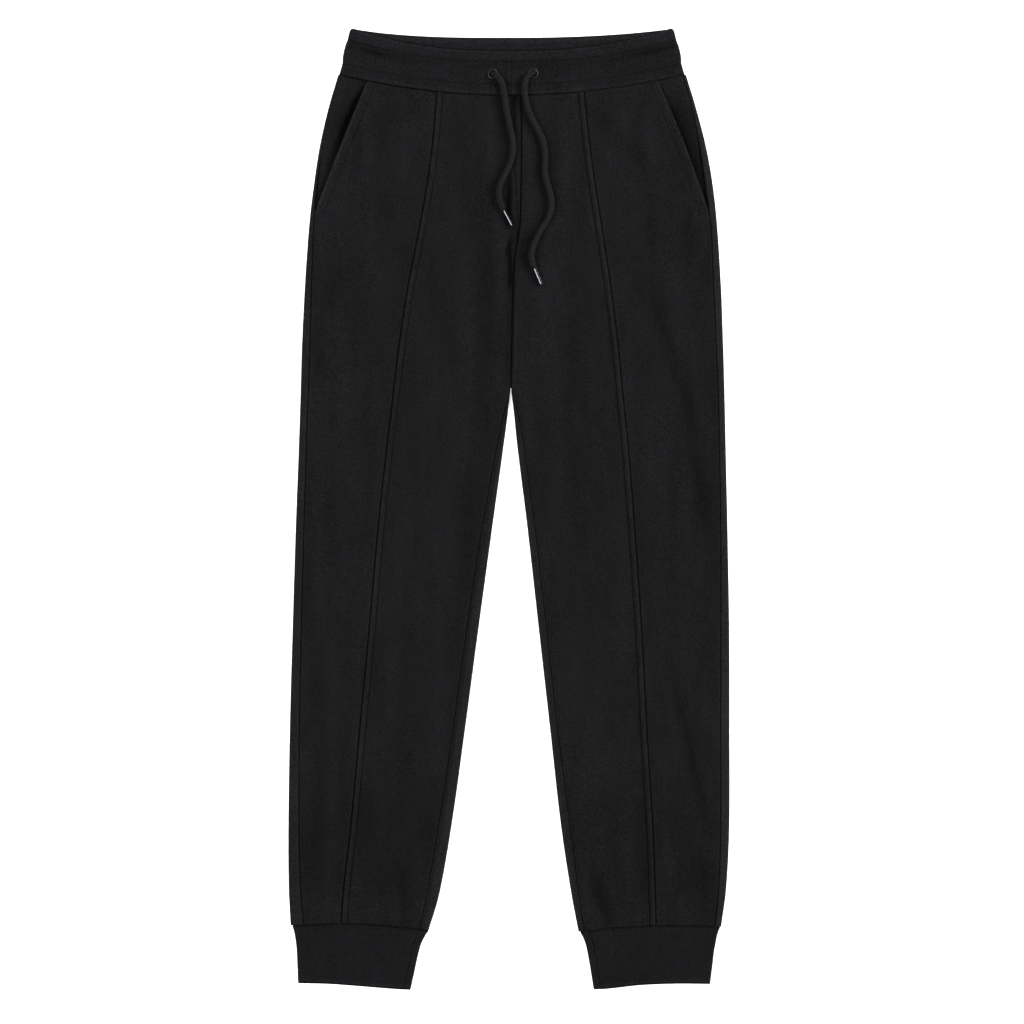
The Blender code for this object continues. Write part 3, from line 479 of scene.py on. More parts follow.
def black_knit(name, dark, light, relief):
    finish, tree, shader = start_material(name)
    place = node(tree, "TexCoord").outputs["Object"]
    mottle = 0.5
    layers = []
    for size, share in MOTTLE:
        stretched = (1.0, 1.0 if size < 5 else 0.4, 1.0)
        run = node(tree, "Mapping", {"Vector": place, "Scale": stretched}).outputs[0]
        spots = node(tree, "TexNoise", {"Vector": run, "Scale": 1000 / size, "Detail": 2.0}).outputs[0]
        layers.append(spots)
        part = node(tree, "MapRange", {0: spots, 3: -share / 2, 4: share / 2}).outputs[0]
        mottle = node(tree, "Math", {0: part, 1: mottle}, operation="ADD").outputs[0]
    mottle = node(tree, "Clamp", {0: mottle}).outputs[0]
    tint = node(tree, "Mix", {0: mottle, 6: linear(dark), 7: linear(light)}, data_type="RGBA").outputs[2]
    # Painted light and shade: the colour is scaled lighter on raised edges and fold ridges, darker in
    # seams, creases and troughs.
    painted_light_and_shade = node(tree, "Attribute", attribute_name="painted_light_and_shade").outputs["Fac"]
    raised = node(tree, "MapRange", {0: painted_light_and_shade, 1: -0.6, 2: 0.6, 3: 1 - PAINTED_CONTRAST, 4: 1 + PAINTED_CONTRAST}).outputs[0]
    knit = knit_relief(tree)
    height = node(tree, "Math", {0: layers[0], 1: 1.2, 2: knit}, operation="MULTIPLY_ADD").outputs[0]
    bump = node(tree, "Bump", {"Strength": relief, "Distance": 0.0003, "Height": height}).outputs[0]
    rough = node(tree, "MapRange", {0: mottle, 1: 0.3, 2: 0.7, 3: 0.86, 4: 0.96}).outputs[0]
    lit = node(tree, "VectorMath", {0: tint, "Scale": raised}, operation="SCALE").outputs[0]
    plug(tree, shader, {"Base Color": lit, "Normal": bump, "Roughness": rough})
    plug(tree, shader, {"Specular IOR Level": 0.04, "Sheen Weight": 0.015, "Sheen Roughness": 0.5})
    return finish


fleece = black_knit("black cotton fleece, jersey face", "070808", "1c1c1e", 0.9)

leg_levels = np.concatenate([
    WAIST_SEAM + np.array([0, 0.15, 0.4, 0.8, 1.3, 2.0, 3.0, 4.5, 6.2]),
    np.linspace(WAIST_SEAM + 8, CROTCH, 95),
    np.linspace(CROTCH, HEM - 8, 165)[1:],
    HEM - np.array([6.2, 4.5, 3.0, 2.0, 1.3, 0.8, 0.4, 0.15, 0]),
])[:, None]

SEAM_ROLL = 1.3
SEAM_DIP = 1.2
SEAM_SHADE = -0.8
STITCH_INSET = 2.5
STITCH_SINK = 0.4
STITCH_SHADE = -0.35
NEAR_SEAM = (0, 0.12, 0.35, 0.7, 1.15, 1.7, 2.4, 3.2)


def end_dip(level):
    """The cloth turns down into the waist seam, and rolls over further into the hem seam."""
    return rolled_edge(level - WAIST_SEAM, 1.3, 1.3) + rolled_edge(HEM - level, 1.6, 1.7)


def end_shade(level):
    """Both ends are dark where they meet the waistband and the cuff."""
    return -0.3 * mark(level - WAIST_SEAM, 0.6) - 0.85 * mark(HEM - level, 1.0)


def side_shown(leg, level):
    """The left side seam lies flat beside the pocket, down to 150 mm."""
    return 0.1 + 0.9 * ease(125, 165, level) if leg.side < 0 else 1.0


def side_dip(leg, level, reach):
    return rolled_edge(reach, SEAM_ROLL, SEAM_DIP) * side_shown(leg, level)


def fold_size(down):
    """Radius of the side folds. The two layers are pressed together at the crotch."""
    return CROTCH_RADIUS + (FOLD_RADIUS - CROTCH_RADIUS) * ease(CROTCH, CROTCH + CROTCH_LENGTH, down)


def seam_travel(radius, seam):
    """Way round a fold, from underneath it to a seam that lies this far in."""
    angle = np.arccos(np.clip(1 - seam / radius, -1, 1))
    return np.where(seam < radius, radius * (math.pi / 2 + angle), radius * math.pi + seam - radius)


def folded_walls(leg, level, edge, inward, radius, travel, dip):
    """Both faces of the cloth round a folded edge: from underneath, round it, then along the top."""
    angle = np.minimum(travel / radius - math.pi / 2, math.pi / 2)
    lip = np.maximum(travel - math.pi * radius, 0.0)
    top_out = edge + inward * (radius + lip)
    top = front_height(leg, top_out, settle(leg, level, top_out))
    rise = np.where(angle > 0, top - radius, radius)
    height = radius + (rise - dip) * np.sin(angle)
    out = edge + inward * (radius * (1 - np.cos(angle)) + lip + 0.3 * dip * np.cos(angle))
    down = settle(leg, level, out)
    inner_out = out + inward * FLEECE * np.cos(angle)
    outer = points_at(leg, out, down, height)
    return [outer, points_at(leg, inner_out, down, height - FLEECE * np.sin(angle))]


def flat_back_walls(leg, level, out, dip):
    """Both faces of the cloth where it lies on the table, and its shade."""
    down = settle(leg, level, out, front=False)
    rise = np.clip(fold_rise(BACK_FOLDS, leg.side * out, down), 0, 0.8)
    rise += 0.25 * np.maximum(soft_noise(leg.side * out, down, 40, 70, 6), 0)
    inner_edge = np.where(level > CROTCH, leg.inner(level), leg.side * BACK_SEAM_X)
    rise *= ease(4, 16, leg.outer(level) - out) * ease(3, 14, out - inner_edge) * ease(0, 12, HEM - level)
    faces = [points_at(leg, out, down, height) for height in (rise + dip, rise + FLEECE)]
    return faces + [end_shade(level) + 0 * out]


def back_walls(leg, level):
    """Both faces of the back and its shade: the side fold, the part on the table, the inseam's fold."""
    outer_edge = leg.outer(settle(leg, level, leg.outer(level)))
    radius = np.full_like(level, FOLD_RADIUS)
    end = seam_travel(radius, outer_edge - leg.side_seam(level)) - SEAM_GAP / 2
    travel = spread(0, end, (0,), NEAR_SEAM, 10)
    dip = side_dip(leg, level, end - travel) + end_dip(level)
    side = folded_walls(leg, level, outer_edge, -1, radius, travel, dip)
    # Painted light on the strip that wraps round the side fold, stronger on the right, and painted shade in
    # the side seam.
    turned = (0.2 if leg.side < 0 else 0.42) * ease(4.7, 8.0, travel)
    side.append(turned + SEAM_SHADE * mark(end - travel, 0.5) * side_shown(leg, level) + end_shade(level))
    below = level > CROTCH
    radius = fold_size(level)
    end = seam_travel(radius, leg.inseam(level)) - SEAM_GAP / 2
    travel = spread(0, end, (0,), NEAR_SEAM, 10)
    dip = rolled_edge(end - travel, SEAM_ROLL, SEAM_DIP) + end_dip(level)
    # Painted light on the strip that wraps round the inner fold, and painted shade in the inseam and its
    # topstitching.
    turned = 0.32 * ease(2.5, 5.0, travel) * ease(1.0, 7.0, end - travel)
    shade = turned + 0.8 * SEAM_SHADE * mark(end - travel, 0.5) + end_shade(level)
    if leg.side < 0:
        dip += STITCH_SINK * mark(end - travel - STITCH_INSET, 0.6) * ease(CROTCH, CROTCH + 40, level)
        shade += STITCH_SHADE * mark(end - travel - STITCH_INSET, 0.5) * below
    folded = folded_walls(leg, level, leg.inner(level), 1, radius, travel, dip) + [shade]
    middle = BACK_SEAM_X + (centre_seam(CROTCH) - BACK_SEAM_X) * ease(200, CROTCH, level)
    flat_end = leg.side * middle - 0.02
    reach = CROTCH_RADIUS * math.pi / 2 * (1 - travel / end)
    flat = flat_back_walls(leg, level, flat_end + reach, rolled_edge(reach, 1.1, 0.7) + end_dip(level))
    inner = [np.where(below if a.ndim == 2 else below[:, :, None], a, b) for a, b in zip(folded, flat)]
    start = outer_edge - FOLD_RADIUS
    stop = np.where(below, leg.inner(level) + radius, flat_end + CROTCH_RADIUS * math.pi / 2)
    bottom_out = start + (stop - start) * np.linspace(0, 1, 33)[None, 1:-1]
    bottom = flat_back_walls(leg, level, bottom_out, end_dip(level))
    return [np.concatenate([s[:, ::-1], b, n], axis=1) for s, b, n in zip(side, bottom, inner)]


BACK_CUT = {"left": ((0.241, 0.91), 0.199), "right": ((0.243, 0.91), 0.201)}
for leg in (LEFT, RIGHT):
    outside, inside, shade = back_walls(leg, leg_levels)
    back = add_cloth("back_panel_" + leg.name, outside, inside, fleece, shade)
    lay_cloth(back, "back_" + leg.name, "fleece", "laid", ["opal_table"], *BACK_CUT[leg.name])


# ---------------------------------------------------------------- pocket facings
# The hip piece that shows inside each slant pocket, of the same fleece. It lies under the mouth's edge
# and is sewn into the side seam and the waist seam.

FACING = 1.1
FACING_LOW = 3.7
POCKET_LAP = 9.0


def open_part(leg, level):
    """The pocket stands open below its top corner, the left one less far down than the right."""
    return window(50, 80, 88, 148, level) if leg.side < 0 else window(60, 95, 130, POCKET_END, level)


def facing_walls(leg, level):
    mouth = seam_at(leg, leg.pocket_edge, level)
    end = seam_at(leg, leg.side_seam, level) - SEAM_GAP / 2
    out = spread(mouth - POCKET_LAP, end, (0, 3, 6, 8), (0, 0.12, 0.35, 0.7, 1.15, 1.7), 14)
    down = settle(leg, level, out)
    low = FACING_LOW - 1.2 * open_part(leg, level)
    height = low + (front_height(leg, out, down) - low) * ease(3, 24, out - mouth)
    height -= side_dip(leg, level, end - out) * ease(4, 10, out - mouth) + end_dip(level)
    # Painted shadow inside the pocket: the facing is painted dark next to the mouth's edge, darker on the
    # left and most where the pocket stands open, a little lighter further out, and painted dark in the side
    # seam.
    depth = 1 - ease(0, 9, out - mouth) if leg.side < 0 else 0.35 * (1 - ease(0, 6, out - mouth))
    shade = -0.9 * depth - 0.25 * (1 - ease(6, 20, out - mouth))
    shade = shade * (0.15 + 0.85 * open_part(leg, level)) + 0.1 * ease(14, 24, out - mouth)
    shade += end_shade(level)
    shade += SEAM_SHADE * mark(end - out, 0.6) * side_shown(leg, level)
    return points_at(leg, out, down, height), points_at(leg, out, down, height - FACING), shade


FACING_CUT = {"left": ((0.038, 0.151), 0.0039), "right": ((0.037, 0.151), 0.0036)}
for leg in (LEFT, RIGHT):
    outside, inside, shade = facing_walls(leg, leg_levels[leg_levels[:, 0] <= POCKET_END])
    facing = add_cloth("pocket_facing_piece_" + leg.name, outside, inside, fleece, shade)
    under = ["back_panel_" + leg.name]
    lay_cloth(facing, "pocket_facing_" + leg.name, "fleece", "laid", under, *FACING_CUT[leg.name])


# ---------------------------------------------------------------- front side panels
# The outer front piece of each leg, from the raised seam to the side seam, in fleece. Its upper corner is
# cut away along the pocket's slant mouth, where the edge is turned under and topstitched 10 mm in.

MOUTH_STITCH = 10.0
MOUTH_GAPE = 3.4
NEAR_MOUTH = (0, 0.12, 0.35, 0.7, 1.15, 1.7, 3.2, 6.0, 9.0, 10.2, 10.8, 11.4, 13.0)


def fold_painted_shade(leg, out, down):
    """Painted shade in the troughs of folds and painted light on their ridges, with uneven long streaks of
    tone; painted shade along the centre-front seam and its crease; darker towards the hems.
    """
    x = leg.side * out
    from_centre = x - centre_seam(down)
    shade = 0.12 * fold_rise(FOLDS, x, down) + 0.08 * soft_noise(x, down, 13, 80, 8)
    shade += 0.06 * soft_noise(x, down, 5, 40, 9) - 0.1 * window(770, 850, 900, 940, down)
    shade -= 0.8 * mark(x - 0.2, 1.0) * window(135, 165, 236, 262, down)
    shade -= 0.3 * mark(from_centre - 8, 4) * window(205, 225, 240, 262, down)
    shade -= 0.5 * mark(x - 1.2, 2.4) * window(235, 250, 262, 285, down)
    shade -= 0.2 * mark(from_centre + 5, 6) * window(190, 225, 262, 285, down)
    return shade - 0.25 * mark(from_centre + 3, 4) * window(240, 290, 365, 385, down)


def pocket_slant(leg):
    """The cosine of the angle between the pocket's mouth and the leg's length."""
    run = leg.pocket_edge(POCKET_END) - leg.pocket_edge(POCKET_TOP)
    return math.cos(math.atan2(run, POCKET_END - POCKET_TOP))


def side_edges(leg, level):
    return seam_at(leg, leg.raised_seam, level), seam_at(leg, leg.front_edge, level)


def side_walls(leg, level, out, start, end):
    """Both faces of the side panel and its shade. Its mouth gapes a little, most in its upper part."""
    down = settle(leg, level, out)
    reach = np.where(down < POCKET_END + 4, (leg.pocket_edge(down) - out) * pocket_slant(leg), 99.0)
    part = np.clip((down - 58) / (POCKET_END - 58), 0, 1)
    gape = MOUTH_GAPE * 6.75 * part * (1 - part) ** 2 * (1 - ease(2, 30, reach))
    height = front_height(leg, out, down) + gape
    at_pocket = level < POCKET_END - 4
    upper = height - rolled_edge(out - start, 1.5, 1.3) - end_dip(level)
    upper -= rolled_edge(end - out, SEAM_ROLL, np.where(at_pocket, 0.8, SEAM_DIP))
    upper -= STITCH_SINK * mark(reach - MOUTH_STITCH, 0.7) * ease(POCKET_END, POCKET_END - 8, down)
    # Painted light and shade: painted shade in the raised seam, along the mouth's topstitching with a
    # painted highlight beside it, a painted highlight along the pocket's turned edge, stronger on the left,
    # and painted shade in the side seam below the pocket.
    shade = fold_painted_shade(leg, out, down) + 0.9 * SEAM_SHADE * mark(out - start, 0.6) + end_shade(level)
    shade += STITCH_SHADE * mark(reach - MOUTH_STITCH, 0.6) + 0.15 * mark(reach - MOUTH_STITCH - 1.3, 0.6)
    lip = (0.5 if leg.side < 0 else 0.3) * mark(end - out - 1.6, 1.2)
    shade += np.where(at_pocket, lip, SEAM_SHADE * mark(end - out, 0.6))
    return points_at(leg, out, down, upper), points_at(leg, out, down, height - FLEECE), shade


SIDE_CUT = {"left": ((0.115, 0.909), 0.072), "right": ((0.117, 0.911), 0.082)}
for leg in (LEFT, RIGHT):
    start, end = side_edges(leg, leg_levels)
    start, end = start + SEAM_GAP / 2, end - SEAM_GAP / 2
    out = spread(start, end, NEAR_SEAM, NEAR_MOUTH, 16)
    outside, inside, shade = side_walls(leg, leg_levels, out, start, end)
    side_panel = add_cloth("front_side_panel_" + leg.name, outside, inside, fleece, shade)
    under = ["back_panel_" + leg.name]
    lay_cloth(side_panel, "front_side_" + leg.name, "fleece", "laid", under, *SIDE_CUT[leg.name])


# ---------------------------------------------------------------- front centre panels
# The inner front piece of each leg, in fleece, from the centre-front seam and the inseam to the raised
# seam. The allowances of the raised seam are turned under this piece and topstitched, which lifts its
# edge in a welt.

WELT_HEIGHT = 1.5
WELT_STITCH = 6.2
WELT_SHADE = {"left": -0.5, "right": -0.2}
NEAR_WELT = (0, 0.12, 0.35, 0.7, 1.15, 1.7, 2.3, 3.2, 4.4, 5.1, 5.5, 5.85, 6.2, 6.55, 6.9, 7.4, 8.2, 9.5)
NEAR_CENTRE = (0, 0.12, 0.35, 0.7, 1.15, 1.7, 2.4, 3.3, 4.3, 5.3, 6.3, 7.3)
CENTRE_STITCH_END = 252.0


def centre_frame(leg, level):
    """Where the panel starts, the arc that it makes round the inner fold, and its width at each level."""
    below = level > CROTCH
    radius = fold_size(level)
    seam = np.where(below, leg.inseam(level), 0.0)
    turned = np.arccos(np.clip(1 - seam / radius, -1, 1))
    start_angle = np.where(below & (seam < radius), turned, math.pi / 2)
    edge = np.where(below, leg.inner(level), seam_at(leg, leg.centre, level))
    start = np.where(below, edge + np.maximum(seam, radius), edge)
    arc = radius * (math.pi / 2 - start_angle)
    return edge, radius, start_angle, start, arc, seam_at(leg, leg.raised_seam, level) - start + arc


def centre_stitch(down):
    """How far from the centre-front seam the left panel is topstitched, which is less lower down."""
    return 6.4 * (1 - ease(130, CENTRE_STITCH_END, down)) + 0.6


def centre_walls(leg, level, travel):
    edge, radius, start_angle, start, arc, width = centre_frame(leg, level)
    bent = travel < arc
    angle = np.where(bent, start_angle + travel / radius, math.pi / 2)
    turn_out = np.where(bent, edge + radius, start + travel - arc)
    down = settle(leg, level, turn_out)
    top = front_height(leg, turn_out, down)
    reach = width - travel
    below = level > CROTCH
    rise = WELT_HEIGHT * (1 - ease(5.0, 6.8, reach)) - rolled_edge(reach, 2.3, 2.7)
    rise -= 0.25 * mark(reach - WELT_STITCH, 0.55) + end_dip(level)
    rise -= rolled_edge(travel, np.where(below, SEAM_ROLL, 1.0), np.where(below, SEAM_DIP, 1.7))
    # Painted shade in the raised seam and along the welt's topstitching, stronger on the left, with a
    # painted highlight on the welt's crest; painted shade in the centre-front seam and the inseam and along
    # their topstitching, with painted light beside the right one.
    dark = -0.6 * mark(reach, 0.8) + 0.3 * mark(reach - 2.2, 0.6)
    dark += WELT_SHADE[leg.name] * mark(reach - WELT_STITCH, 0.6)
    dark += np.where(below, SEAM_SHADE * mark(travel, 0.6), -1.1 * mark(travel, 0.9)) + end_shade(level)
    if leg.side < 0:
        sewn = mark(travel - centre_stitch(down), 0.7) * (level < CENTRE_STITCH_END)
        rise -= 0.7 * sewn
        dark += 1.3 * STITCH_SHADE * sewn
    else:
        rise -= STITCH_SINK * mark(travel - STITCH_INSET, 0.6) * ease(CROTCH, CROTCH + 40, level)
        sewn = 0.2 * mark(travel - 1.3, 0.6) + STITCH_SHADE * mark(travel - STITCH_INSET, 0.5)
        dark += np.where(below, sewn, 0.1 * mark(travel - 4.0, 2.0) * ease(250, 300, level))
    height = radius + (top - radius + rise) * np.sin(angle)
    out = np.where(bent, edge + radius * (1 - np.cos(angle)) - rise * np.cos(angle), turn_out)
    down = settle(leg, level, out)
    base = radius + (top - radius - FLEECE) * np.sin(angle)
    shade = fold_painted_shade(leg, out, down) + dark
    inner_out = out + FLEECE * np.cos(angle)
    return points_at(leg, out, down, height), points_at(leg, inner_out, down, base), shade


CENTRE_CUT = {"left": ((0.126, 0.896), 0.094), "right": ((0.121, 0.896), 0.087)}
for leg in (LEFT, RIGHT):
    width = centre_frame(leg, leg_levels)[-1]
    travel = spread(0 * width + SEAM_GAP / 2, width - SEAM_GAP / 2, NEAR_CENTRE, NEAR_WELT, 17)
    outside, inside, shade = centre_walls(leg, leg_levels, travel)
    centre_panel = add_cloth("front_centre_panel_" + leg.name, outside, inside, fleece, shade)
    under = ["back_panel_" + leg.name]
    lay_cloth(centre_panel, "front_centre_" + leg.name, "fleece", "laid", under, *CENTRE_CUT[leg.name])


# ---------------------------------------------------------------- topstitching
# Spun polyester thread, 0.45 mm thick, in lockstitches of about 3 mm. It holds the welt of each raised
# seam, the turned edge of each pocket, the left side of the centre-front seam and the inseam allowances.

THREAD = 0.45
STITCH_PITCH = 3.4
STITCH_LENGTH = 2.7
STITCH_SIDES = 6
# A stitch from end to end: how far along, how thick and how high. Its ends dive into the cloth.
STITCH_PROFILE = (
    (0.0, 0.3, -0.35), (0.12, 0.85, 0.02), (0.5, 1.0, 0.14), (0.88, 0.85, 0.02), (1.0, 0.3, -0.35),
)

# Spun polyester thread: a touch smoother than the cotton, so that a stitch catches a small light.
thread, tree, shader = start_material("black spun polyester thread")
tint = speckled(tree, 700.0, 2.0, "040405", "121214")[1]
plug(tree, shader, {"Base Color": tint, "Roughness": 0.7, "Specular IOR Level": 0.15})


def stitch_ends(line, seed):
    """Start and end of each stitch along a line of points, in metres, a little uneven as when sewn."""
    travel = np.concatenate([[0], np.cumsum(np.linalg.norm(np.diff(line, axis=0), axis=1))]) / MM
    count = int(travel[-1] / STITCH_PITCH)
    random = np.random.default_rng(seed)
    start = (np.arange(count) + 0.3) * STITCH_PITCH + random.uniform(-0.2, 0.2, count)
    end = start + STITCH_LENGTH + random.uniform(-0.2, 0.2, count)
    return [np.stack([np.interp(t, travel, line[:, k]) for k in range(3)], -1) for t in (start, end)]


def unit(vectors):
    return vectors / np.linalg.norm(vectors, axis=1)[:, None]


def ring_faces(rings, sides):
    """The faces round a tube, whose rings of points follow each other."""
    i, j = np.meshgrid(np.arange(rings - 1) * sides, np.arange(sides), indexing="ij")
    k = (j + 1) % sides
    return np.stack([i + j, i + k, i + sides + k, i + sides + j], -1).reshape(-1, 4)


def ring_caps(rings, sides):
    """The faces that close both ends of such a tube."""
    return [list(range(sides))[::-1], list(range((rings - 1) * sides, rings * sides))]


def sew(name, lines, up=1.0):
    """All stitches of some rows as one piece, raised from the cloth, or downwards on the underside."""
    ends = [stitch_ends(line, 40 + k) for k, line in enumerate(lines)]
    start, end = (np.concatenate(points) for points in zip(*ends))
    ahead = unit(end - start)
    over = unit(np.array([0, 0, up]) - ahead * (ahead[:, 2:] * up))
    beside = np.cross(ahead, over)
    rings = []
    for part, thick, lift in STITCH_PROFILE:
        middle = start + (end - start) * part + over * lift * MM
        for angle in 2 * math.pi * np.arange(STITCH_SIDES) / STITCH_SIDES:
            spoke = beside * math.cos(angle) + over * math.sin(angle)
            rings.append(middle + spoke * thick * THREAD / 2 * MM)
    first = np.arange(len(start))[:, None, None] * len(rings)
    quads = (ring_faces(len(STITCH_PROFILE), STITCH_SIDES) + first).reshape(-1, 4)
    caps = (np.array(ring_caps(len(STITCH_PROFILE), STITCH_SIDES)) + first).reshape(-1, STITCH_SIDES)
    add_piece(name, np.stack(rings, axis=1), quads.tolist() + caps.tolist(), thread)


raised_levels = np.linspace(WAIST_SEAM + 1.5, HEM - 3, 300)[:, None]
mouth_levels = np.linspace(WAIST_SEAM + 2, POCKET_END - 2, 60)[:, None]
inseam_levels = np.linspace(CROTCH + 32, HEM - 3, 190)[:, None]
centre_levels = np.linspace(WAIST_SEAM + 1.5, CENTRE_STITCH_END - 3, 70)[:, None]
for leg in (LEFT, RIGHT):
    raised = centre_walls(leg, raised_levels, centre_frame(leg, raised_levels)[-1] - WELT_STITCH)
    mouth_out = seam_at(leg, leg.pocket_edge, mouth_levels) - MOUTH_STITCH / pocket_slant(leg)
    mouth = side_walls(leg, mouth_levels, mouth_out, *side_edges(leg, mouth_levels))
    if leg.side < 0:
        radius = fold_size(inseam_levels)
        travel = seam_travel(radius, leg.inseam(inseam_levels)) - STITCH_INSET
        inseam = folded_walls(leg, inseam_levels, leg.inner(inseam_levels), 1, radius, travel, STITCH_SINK)
        down = settle(leg, centre_levels, leg.centre(centre_levels))
        rows = [raised, mouth, inseam, centre_walls(leg, centre_levels, centre_stitch(down))]
    else:
        rows = [raised, mouth, centre_walls(leg, inseam_levels, STITCH_INSET)]
    sew("topstitching_" + leg.name, [walls[0][:, 0] for walls in rows])


# ---------------------------------------------------------------- waistband
# A doubled strip of the fleece over wide elastic, in two halves joined at the centre front and back. Two
# rows of stitches go through all of it, and the elastic draws the cloth between them into uneven gathers.

BAND_WALL = 3.9
BAND_BACK_WALL = 3.4
BAND_HEIGHT = 7.9
BAND_TOP_DROP_FRONT = 24.4
BAND_TOP_DROP_BACK = 9.6
BAND_DEPTH = 49.0
BAND_ROWS = (0.25, 0.76)
RIGHT_BAND_EXTRA = 6.4
TOP_SINK = 1.8
EYELET_SPOTS = {"left": (-17.05, 461.5), "right": (25.75, 462.1)}
EYELET_HOLE = 4.6
EYELET_LEVEL = 7.8

# Half width of the left half, from its top edge (0) to its seam (1). The right half is a little wider.
left_band = curve_through((0, 0.12, 0.27, 0.4, 0.57, 0.75, 0.87, 1),
                          (168.2, 169.8, 171.8, 174.0, 176.0, 176.9, 178.2, 180.2))


def band_edge(leg, part):
    corner = rolled_edge(part * BAND_DEPTH, 3.2, 2.0)
    return left_band(part) - corner + (RIGHT_BAND_EXTRA if leg.side > 0 else 0.0)


def band_down(leg, out, part, front):
    reach = np.minimum(np.abs(out) / band_edge(leg, part), 1.0)
    back_top = BAND_TOP_DROP_BACK * (1 - reach ** (3.0 if leg.side < 0 else 2.4))
    top = np.where(front, BAND_TOP_DROP_FRONT * (1 - reach**2.4), back_top)
    seam = np.where(front, WAIST_DROP_FRONT * (1 - reach**2), WAIST_DROP_BACK * (1 - reach**3))
    return top + (WAIST_SEAM + seam - 0.06 - top) * part


def row_mark(part, width):
    return sum(mark(part - row, width) for row in BAND_ROWS)


def band_relief(x, part, seed):
    """Rolls between the rows of stitches, and the gathers that the elastic pulls."""
    relief = -0.35 * row_mark(part, 0.05) - 0.5 * row_mark(part, 0.014)
    relief -= rolled_edge(part * BAND_DEPTH, 0.9, 0.7) + rolled_edge((1 - part) * BAND_DEPTH, 1.3, 1.3)
    gather = soft_noise(x, part, 6.5, 0.35, seed) + 0.6 * soft_noise(x, part, 13, 0.5, seed + 1)
    strength = 0.2 + 0.55 * mark(part - 0.34, 0.08) + 0.25 * mark(part - 0.17, 0.06)
    strength += 0.2 * mark(part - 0.86, 0.08)
    return relief + gather * strength * (1 - 0.7 * row_mark(part, 0.03))


def band_shade(leg, part, out, back):
    """Painted light and shade of the band on its way round: painted shade in its seams, stitch rows and
    under the gathers below the upper row, painted light along its top roll. Behind the front's top, its
    back is painted light near its top edge and painted dark in a line where the front's top edge shades it.
    """
    x = leg.side * np.where(out == 0, band_edge(leg, part), out)
    top, seam = part * BAND_DEPTH, (1 - part) * BAND_DEPTH
    centre = mark(np.abs(out) - np.abs(leg.side * BACK_SEAM_X + SEAM_GAP / 2), 0.6) * (out != 0)
    shade = 0.1 * soft_noise(x, part, 16, 0.16, 41) - 0.4 * mark(seam, 0.7) - 0.3 * centre
    shade += 0.12 * mark(part - 0.12, 0.08) + 0.15 * mark(part - 0.94, 0.04) - 0.4 * row_mark(part, 0.01)
    shade += 0.35 * mark(top - 1.3, 1.1)
    shade -= 0.3 * mark(part - 0.36, 0.07) * (0.35 + mark(np.abs(x) - 148, 26))
    lip = band_down(leg, out, 0 * part, True) - band_down(leg, out, part, False)
    strip = 0.45 - 0.35 * ease(2, 9, top) - 1.1 * mark(top, 0.7) - 0.6 * mark(lip - 0.5, 0.9)
    return np.where(back & (part < 0.45), strip, shade)


def band_walls(leg, part, front_out, angle, back_out):
    """Both faces of half of the band and its shade: the front from its seam, the fold, and the back."""
    edge = band_edge(leg, part)
    radius = BAND_HEIGHT / 2
    middle = leg.side * BACK_SEAM_X + SEAM_GAP / 2
    turn = edge - radius
    top = part * BAND_DEPTH
    pinch = rolled_edge(top, 1.9, 0.8)
    sink = TOP_SINK * (1 - ease(0, 9, top))
    front = middle + (turn - middle) * front_out
    down = band_down(leg, front, part, True)
    spot = EYELET_SPOTS[leg.name]
    away = np.hypot(leg.side * front - spot[0], LENGTH / 2 - down - spot[1])
    relief = band_relief(leg.side * front, part, 11) * ease(6, 9, away) - 0.7 * (1 - ease(5.4, 8.0, away))
    seam_dip = rolled_edge(np.abs(front - middle), 1.0, 0.6) * ease(0, 4, top)
    outer = [points_at(leg, front, down, BAND_HEIGHT + relief - seam_dip - sink)]
    inner = [points_at(leg, front, down, BAND_HEIGHT - BAND_WALL + pinch)]
    relief = 0.3 * band_relief(leg.side * (edge + radius * angle), part, 11)
    out = turn + (radius + relief) * np.cos(angle)
    down = band_down(leg, np.minimum(out, edge), part, angle > 0)
    height = radius + (radius + (relief - sink) * (angle > 0)) * np.sin(angle)
    outer.append(points_at(leg, out, down, height))
    wall = radius - np.where(angle > 0, BAND_WALL - 0.1, BAND_BACK_WALL) + pinch
    inner.append(points_at(leg, turn + wall * np.cos(angle), down, radius + wall * np.sin(angle)))
    back = turn + (middle - SEAM_GAP / 2 - 0.02 - turn) * back_out
    down = band_down(leg, back, part, False)
    seam_dip = rolled_edge(np.abs(back - middle), 1.0, 0.6) * ease(0, 4, top)
    relief = np.clip(-band_relief(leg.side * back, part, 17), 0, 1.6)
    outer.append(points_at(leg, back, down, relief + seam_dip))
    face = BAND_BACK_WALL + 0.5 * band_relief(leg.side * back, part, 21) - pinch - seam_dip
    rise = 1.4 * ease(0.0, 0.5, 1 - np.abs(back) / edge) * (1 - ease(0.22, 0.4, part))
    inner.append(points_at(leg, back, down, np.clip(face, 1.7, 3.9) + rise))
    spans = [np.broadcast_to(a, (len(part), a.shape[1])) for a in (front, 0 * angle, back)]
    out = np.concatenate(spans, axis=1)
    behind = np.arange(out.shape[1])[None] >= front.shape[1] + angle.shape[1]
    return np.concatenate(outer, axis=1), np.concatenate(inner, axis=1), band_shade(leg, part, out, behind)


# The same fleece, drawn on the double and pressed: a little smoother than the legs.
band_cloth = black_knit("black cotton fleece, pressed double", "040505", "1c1c1e", 0.8)


def cut_eyelet_hole(piece, spot):
    bpy.ops.mesh.primitive_cylinder_add(vertices=48, radius=EYELET_HOLE * MM, depth=0.006,
                                        location=(spot[0] * MM, spot[1] * MM, EYELET_LEVEL * MM))
    cutter = bpy.context.object
    hole = piece.modifiers.new("eyelet hole", "BOOLEAN")
    hole.operation = "DIFFERENCE"
    hole.solver = "EXACT"
    hole.object = cutter
    graph = bpy.context.evaluated_depsgraph_get()
    piece.data = bpy.data.meshes.new_from_object(piece.evaluated_get(graph))
    piece.modifiers.clear()
    bpy.data.objects.remove(cutter, do_unlink=True)


